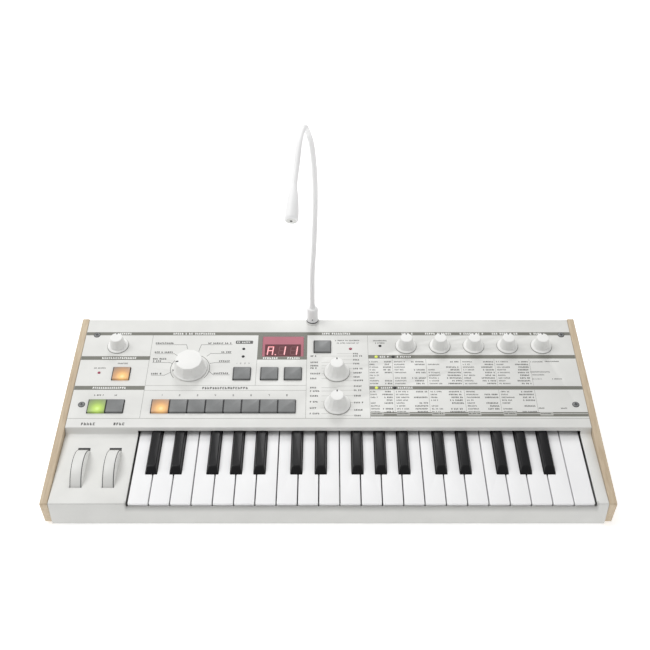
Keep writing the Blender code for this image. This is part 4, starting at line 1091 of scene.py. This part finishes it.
plug = [(2.3, -6.0), (2.3, 0.15), (5.6, 0.15), (5.9, 0.5), (5.9, 2.4), (5.7, 2.6), (5.7, 3.0), (5.9, 3.2), (5.9, 15.6)]
plug += [(5.2, 16.8), (4.0, 17.2), (3.4, 17.4), (3.1, 20.5), (2.7, 21.5), (1.0, 21.5)]
piece("microphone_plug", [lathe(plug)], SLEEVE, "case", MIC_HOME)
piece("plug_base_ring", [lathe([(6.05, 0.12), (6.25, 0.3), (6.25, 0.9), (6.05, 1.1), (2.6, 1.1), (2.6, 0.12)])], DARK, "case", MIC_HOME)
dot = slab(circle(0.0, 0.0, 0.7, 20), 5.88, 6.0)
piece("plug_index_dot", [(dot[0][:, [0, 2, 1]] * [1, -1, 1] + [0, 0, 5.0], dot[1], dot[2])], DARK, "case", MIC_HOME)

# The head: a taper from the conduit to a slim barrel with a rolled end
h = np.array([0, 1, 3, 6, 9, 12, 15, 20, 26, 32, 33.6, 34.6, 35.0])
r = np.array([2.8, 2.9, 3.15, 3.6, 4.1, 4.6, 5.0, 5.5, 5.9, 6.2, 6.1, 5.7, 5.0])
piece("microphone_head_barrel", [sweep(on_curve(total - HEAD + h), r, 48)], SLEEVE, "microphone_head", MIC_HOME, sharp=50)
tip = on_curve(np.array([total - 0.4, total]))
aim = (tip[1] - tip[0]) / np.linalg.norm(tip[1] - tip[0])
grille = sweep([tip[1] - aim * 0.4, tip[1] + aim * 0.06], [4.2, 4.2], 40)
port = sweep([tip[1] + aim * 0.02, tip[1] + aim * 0.2], [1.1, 1.1], 28)
piece("microphone_grille", [grille], CASE, "microphone_head", MIC_HOME)
piece("microphone_port", [port], DARK, "microphone_head", MIC_HOME)

# %% [markdown]
# ## Board and sockets
#
# Under the panel a circuit board carries the switches, the potentiometers and the display. At the back,
# threaded jacks, two round data sockets and a power inlet come out through the rear wall; each is a
# turned tube along the depth axis, so its profile is (radius, distance) instead of (radius, height).

# %%
BOARD = (-9.4, -11.0)
board = [cuboid((-249.0, 104.5, BOARD[1]), (249.0, 216.0, BOARD[0]))]
piece("circuit_board", board, GREEN_BOARD, home=PANEL, stands_for=["panel_board"])
caps = [ARP] + octave + program + function
piece("switch_bodies", [cuboid((x - 3, v - 3, -9.35), (x + 3, v + 3, -8.8)) for x, v in caps], DARK, home=PANEL)
pots = [cuboid((x - 5, v - 5, -9.35), (x + 5, v + 5, -2.8)) for x, v in SHAFTS]
pots += [lathe([(3.0, -2.75), (3.0, 8.0)], p, 32) for p in SHAFTS]
piece("potentiometers", pots, STEEL, home=PANEL)
piece("display_body", [cuboid((x0 + 0.4, v0 + 0.4, -9.35), (x1 - 0.4, v1 - 0.4, -1.45)) for x0, x1, v0, v1 in [DISPLAY]], DARK, home=PANEL)


def rearward(profile, x, z, sides=48, facets=0):
    """A solid turned about an axis that runs front to back: profile rows are (radius, distance)."""
    p, quads, ends = lathe([(r, d, 1.0) for r, d in profile], sides=sides, facets=facets)
    return np.column_stack([p[:, 0] + x, p[:, 2], p[:, 1] + z]), quads, ends


JACKS, DATA, POWER = [-176.0, -144.0, -122.0, -82.0], [126.0, 150.0], 205.0
Z, R = 42.0, CASE_REAR
tubes = [rearward([(3.4, R - 18), (5.2, R - 18), (5.2, R + 5.4), (4.9, R + 5.8), (3.6, R + 5.8), (3.4, R + 5.6)], x, Z) for x in JACKS]
nuts = [rearward([(5.3, R + 0.1), (8.0, R + 0.1), (8.0, R + 2.3), (7.6, R + 2.6), (5.3, R + 2.6)], x, Z, 96, 6) for x in JACKS]
wells = [rearward([(3.35, R - 18.2), (5.1, R - 18.2), (5.1, R - 20), (0.5, R - 20), (0.5, R - 18.2)], x, Z) for x in JACKS]
piece("jack_barrels", tubes, STEEL)
piece("jack_nuts", nuts, STEEL)
shells, pins = [], []
for x in DATA:
    shells.append(rearward([(6.8, R - 6), (8.6, R - 6), (8.6, R + 2.2), (8.3, R + 2.5), (7.0, R + 2.5), (6.8, R + 2.3)], x, Z))
    shells.append(rearward([(1.0, R - 7.5), (8.5, R - 7.5), (8.5, R - 6.3), (1.0, R - 6.3)], x, Z))
    for k in range(5):
        turn = math.radians(180 + 45 * k)
        pins.append(rearward([(0.7, R - 6.2), (0.7, R - 0.5), (0.4, R - 0.2)], x + 4.8 * math.cos(turn), Z + 4.8 * math.sin(turn), 12))
shells.append(rearward([(3.3, R - 6), (5.2, R - 6), (5.2, R + 2.2), (5.0, R + 2.5), (3.5, R + 2.5), (3.3, R + 2.3)], POWER, Z))
pins.append(rearward([(1.0, R - 6), (1.0, R + 0.5), (0.6, R + 1.0)], POWER, Z, 16))
piece("socket_shells", shells, DARK)
piece("socket_pins", pins, STEEL)

# %% [markdown]
# ## Floor, light and camera
#
# A pale floor, one large soft light high on the left, a weak one on the right, a small one behind that
# glances off the black keys in the middle, and an even white surround. The camera looks down 38.4 degrees through a 54.5 mm lens, slightly off centre.

# %%
floor = build("floor", [cuboid((-4000, -3000, -2.4), (4000, 6000, -0.4))])
floor_paint = plastic("floor_paint", (0.97, 0.97, 0.97), 0.9, vary=0.004, grain=0.0)
floor_paint.node_tree.nodes["Principled BSDF"].inputs["Emission Color"].default_value = (1.0, 1.0, 1.0, 1.0)
floor_paint.node_tree.nodes["Principled BSDF"].inputs["Emission Strength"].default_value = 0.45
floor.data.materials.append(floor_paint)

world = bpy.data.worlds.new("studio")
world.use_nodes = True
world.node_tree.nodes["Background"].inputs["Color"].default_value = (1.0, 1.0, 1.0, 1.0)
world.node_tree.nodes["Background"].inputs["Strength"].default_value = 0.44
bpy.context.scene.world = world
bpy.context.scene.view_settings.view_transform = "Standard"


def area_light(name, place, aim, size, power):
    """A square soft light at place, turned to face aim."""
    lamp_data = bpy.data.lights.new(name, "AREA")
    lamp_data.size = size
    lamp_data.energy = power
    made = bpy.data.objects.new(name, lamp_data)
    bpy.context.scene.collection.objects.link(made)
    made.location = place
    direction = np.array(aim) - np.array(place)
    made.rotation_euler = (
        math.acos(-direction[2] / np.linalg.norm(direction)), 0.0, math.atan2(direction[0], -direction[1]) + math.pi)
    return made


area_light("key light", (-1.2, 0.2, 1.9), (0.0, 0.0, 0.03), 1.4, 24.0)
area_light("fill light", (1.7, -0.1, 1.3), (0.0, 0.0, 0.03), 1.4, 5.0)
area_light("rear light", (0.0, 1.15, 1.2), (0.0, 0.0, 0.03), 0.45, 6.0)

camera_data = bpy.data.cameras.new("camera")
camera_data.lens = 54.51
camera_data.sensor_width = 36.0
camera_data.shift_x = -0.0051
camera = bpy.data.objects.new("camera", camera_data)
camera.location = (0.0, -0.7153, 0.7112)
camera.rotation_euler = (math.radians(90 - 38.43), 0.0, 0.0)
bpy.context.scene.collection.objects.link(camera)
bpy.context.scene.camera = camera
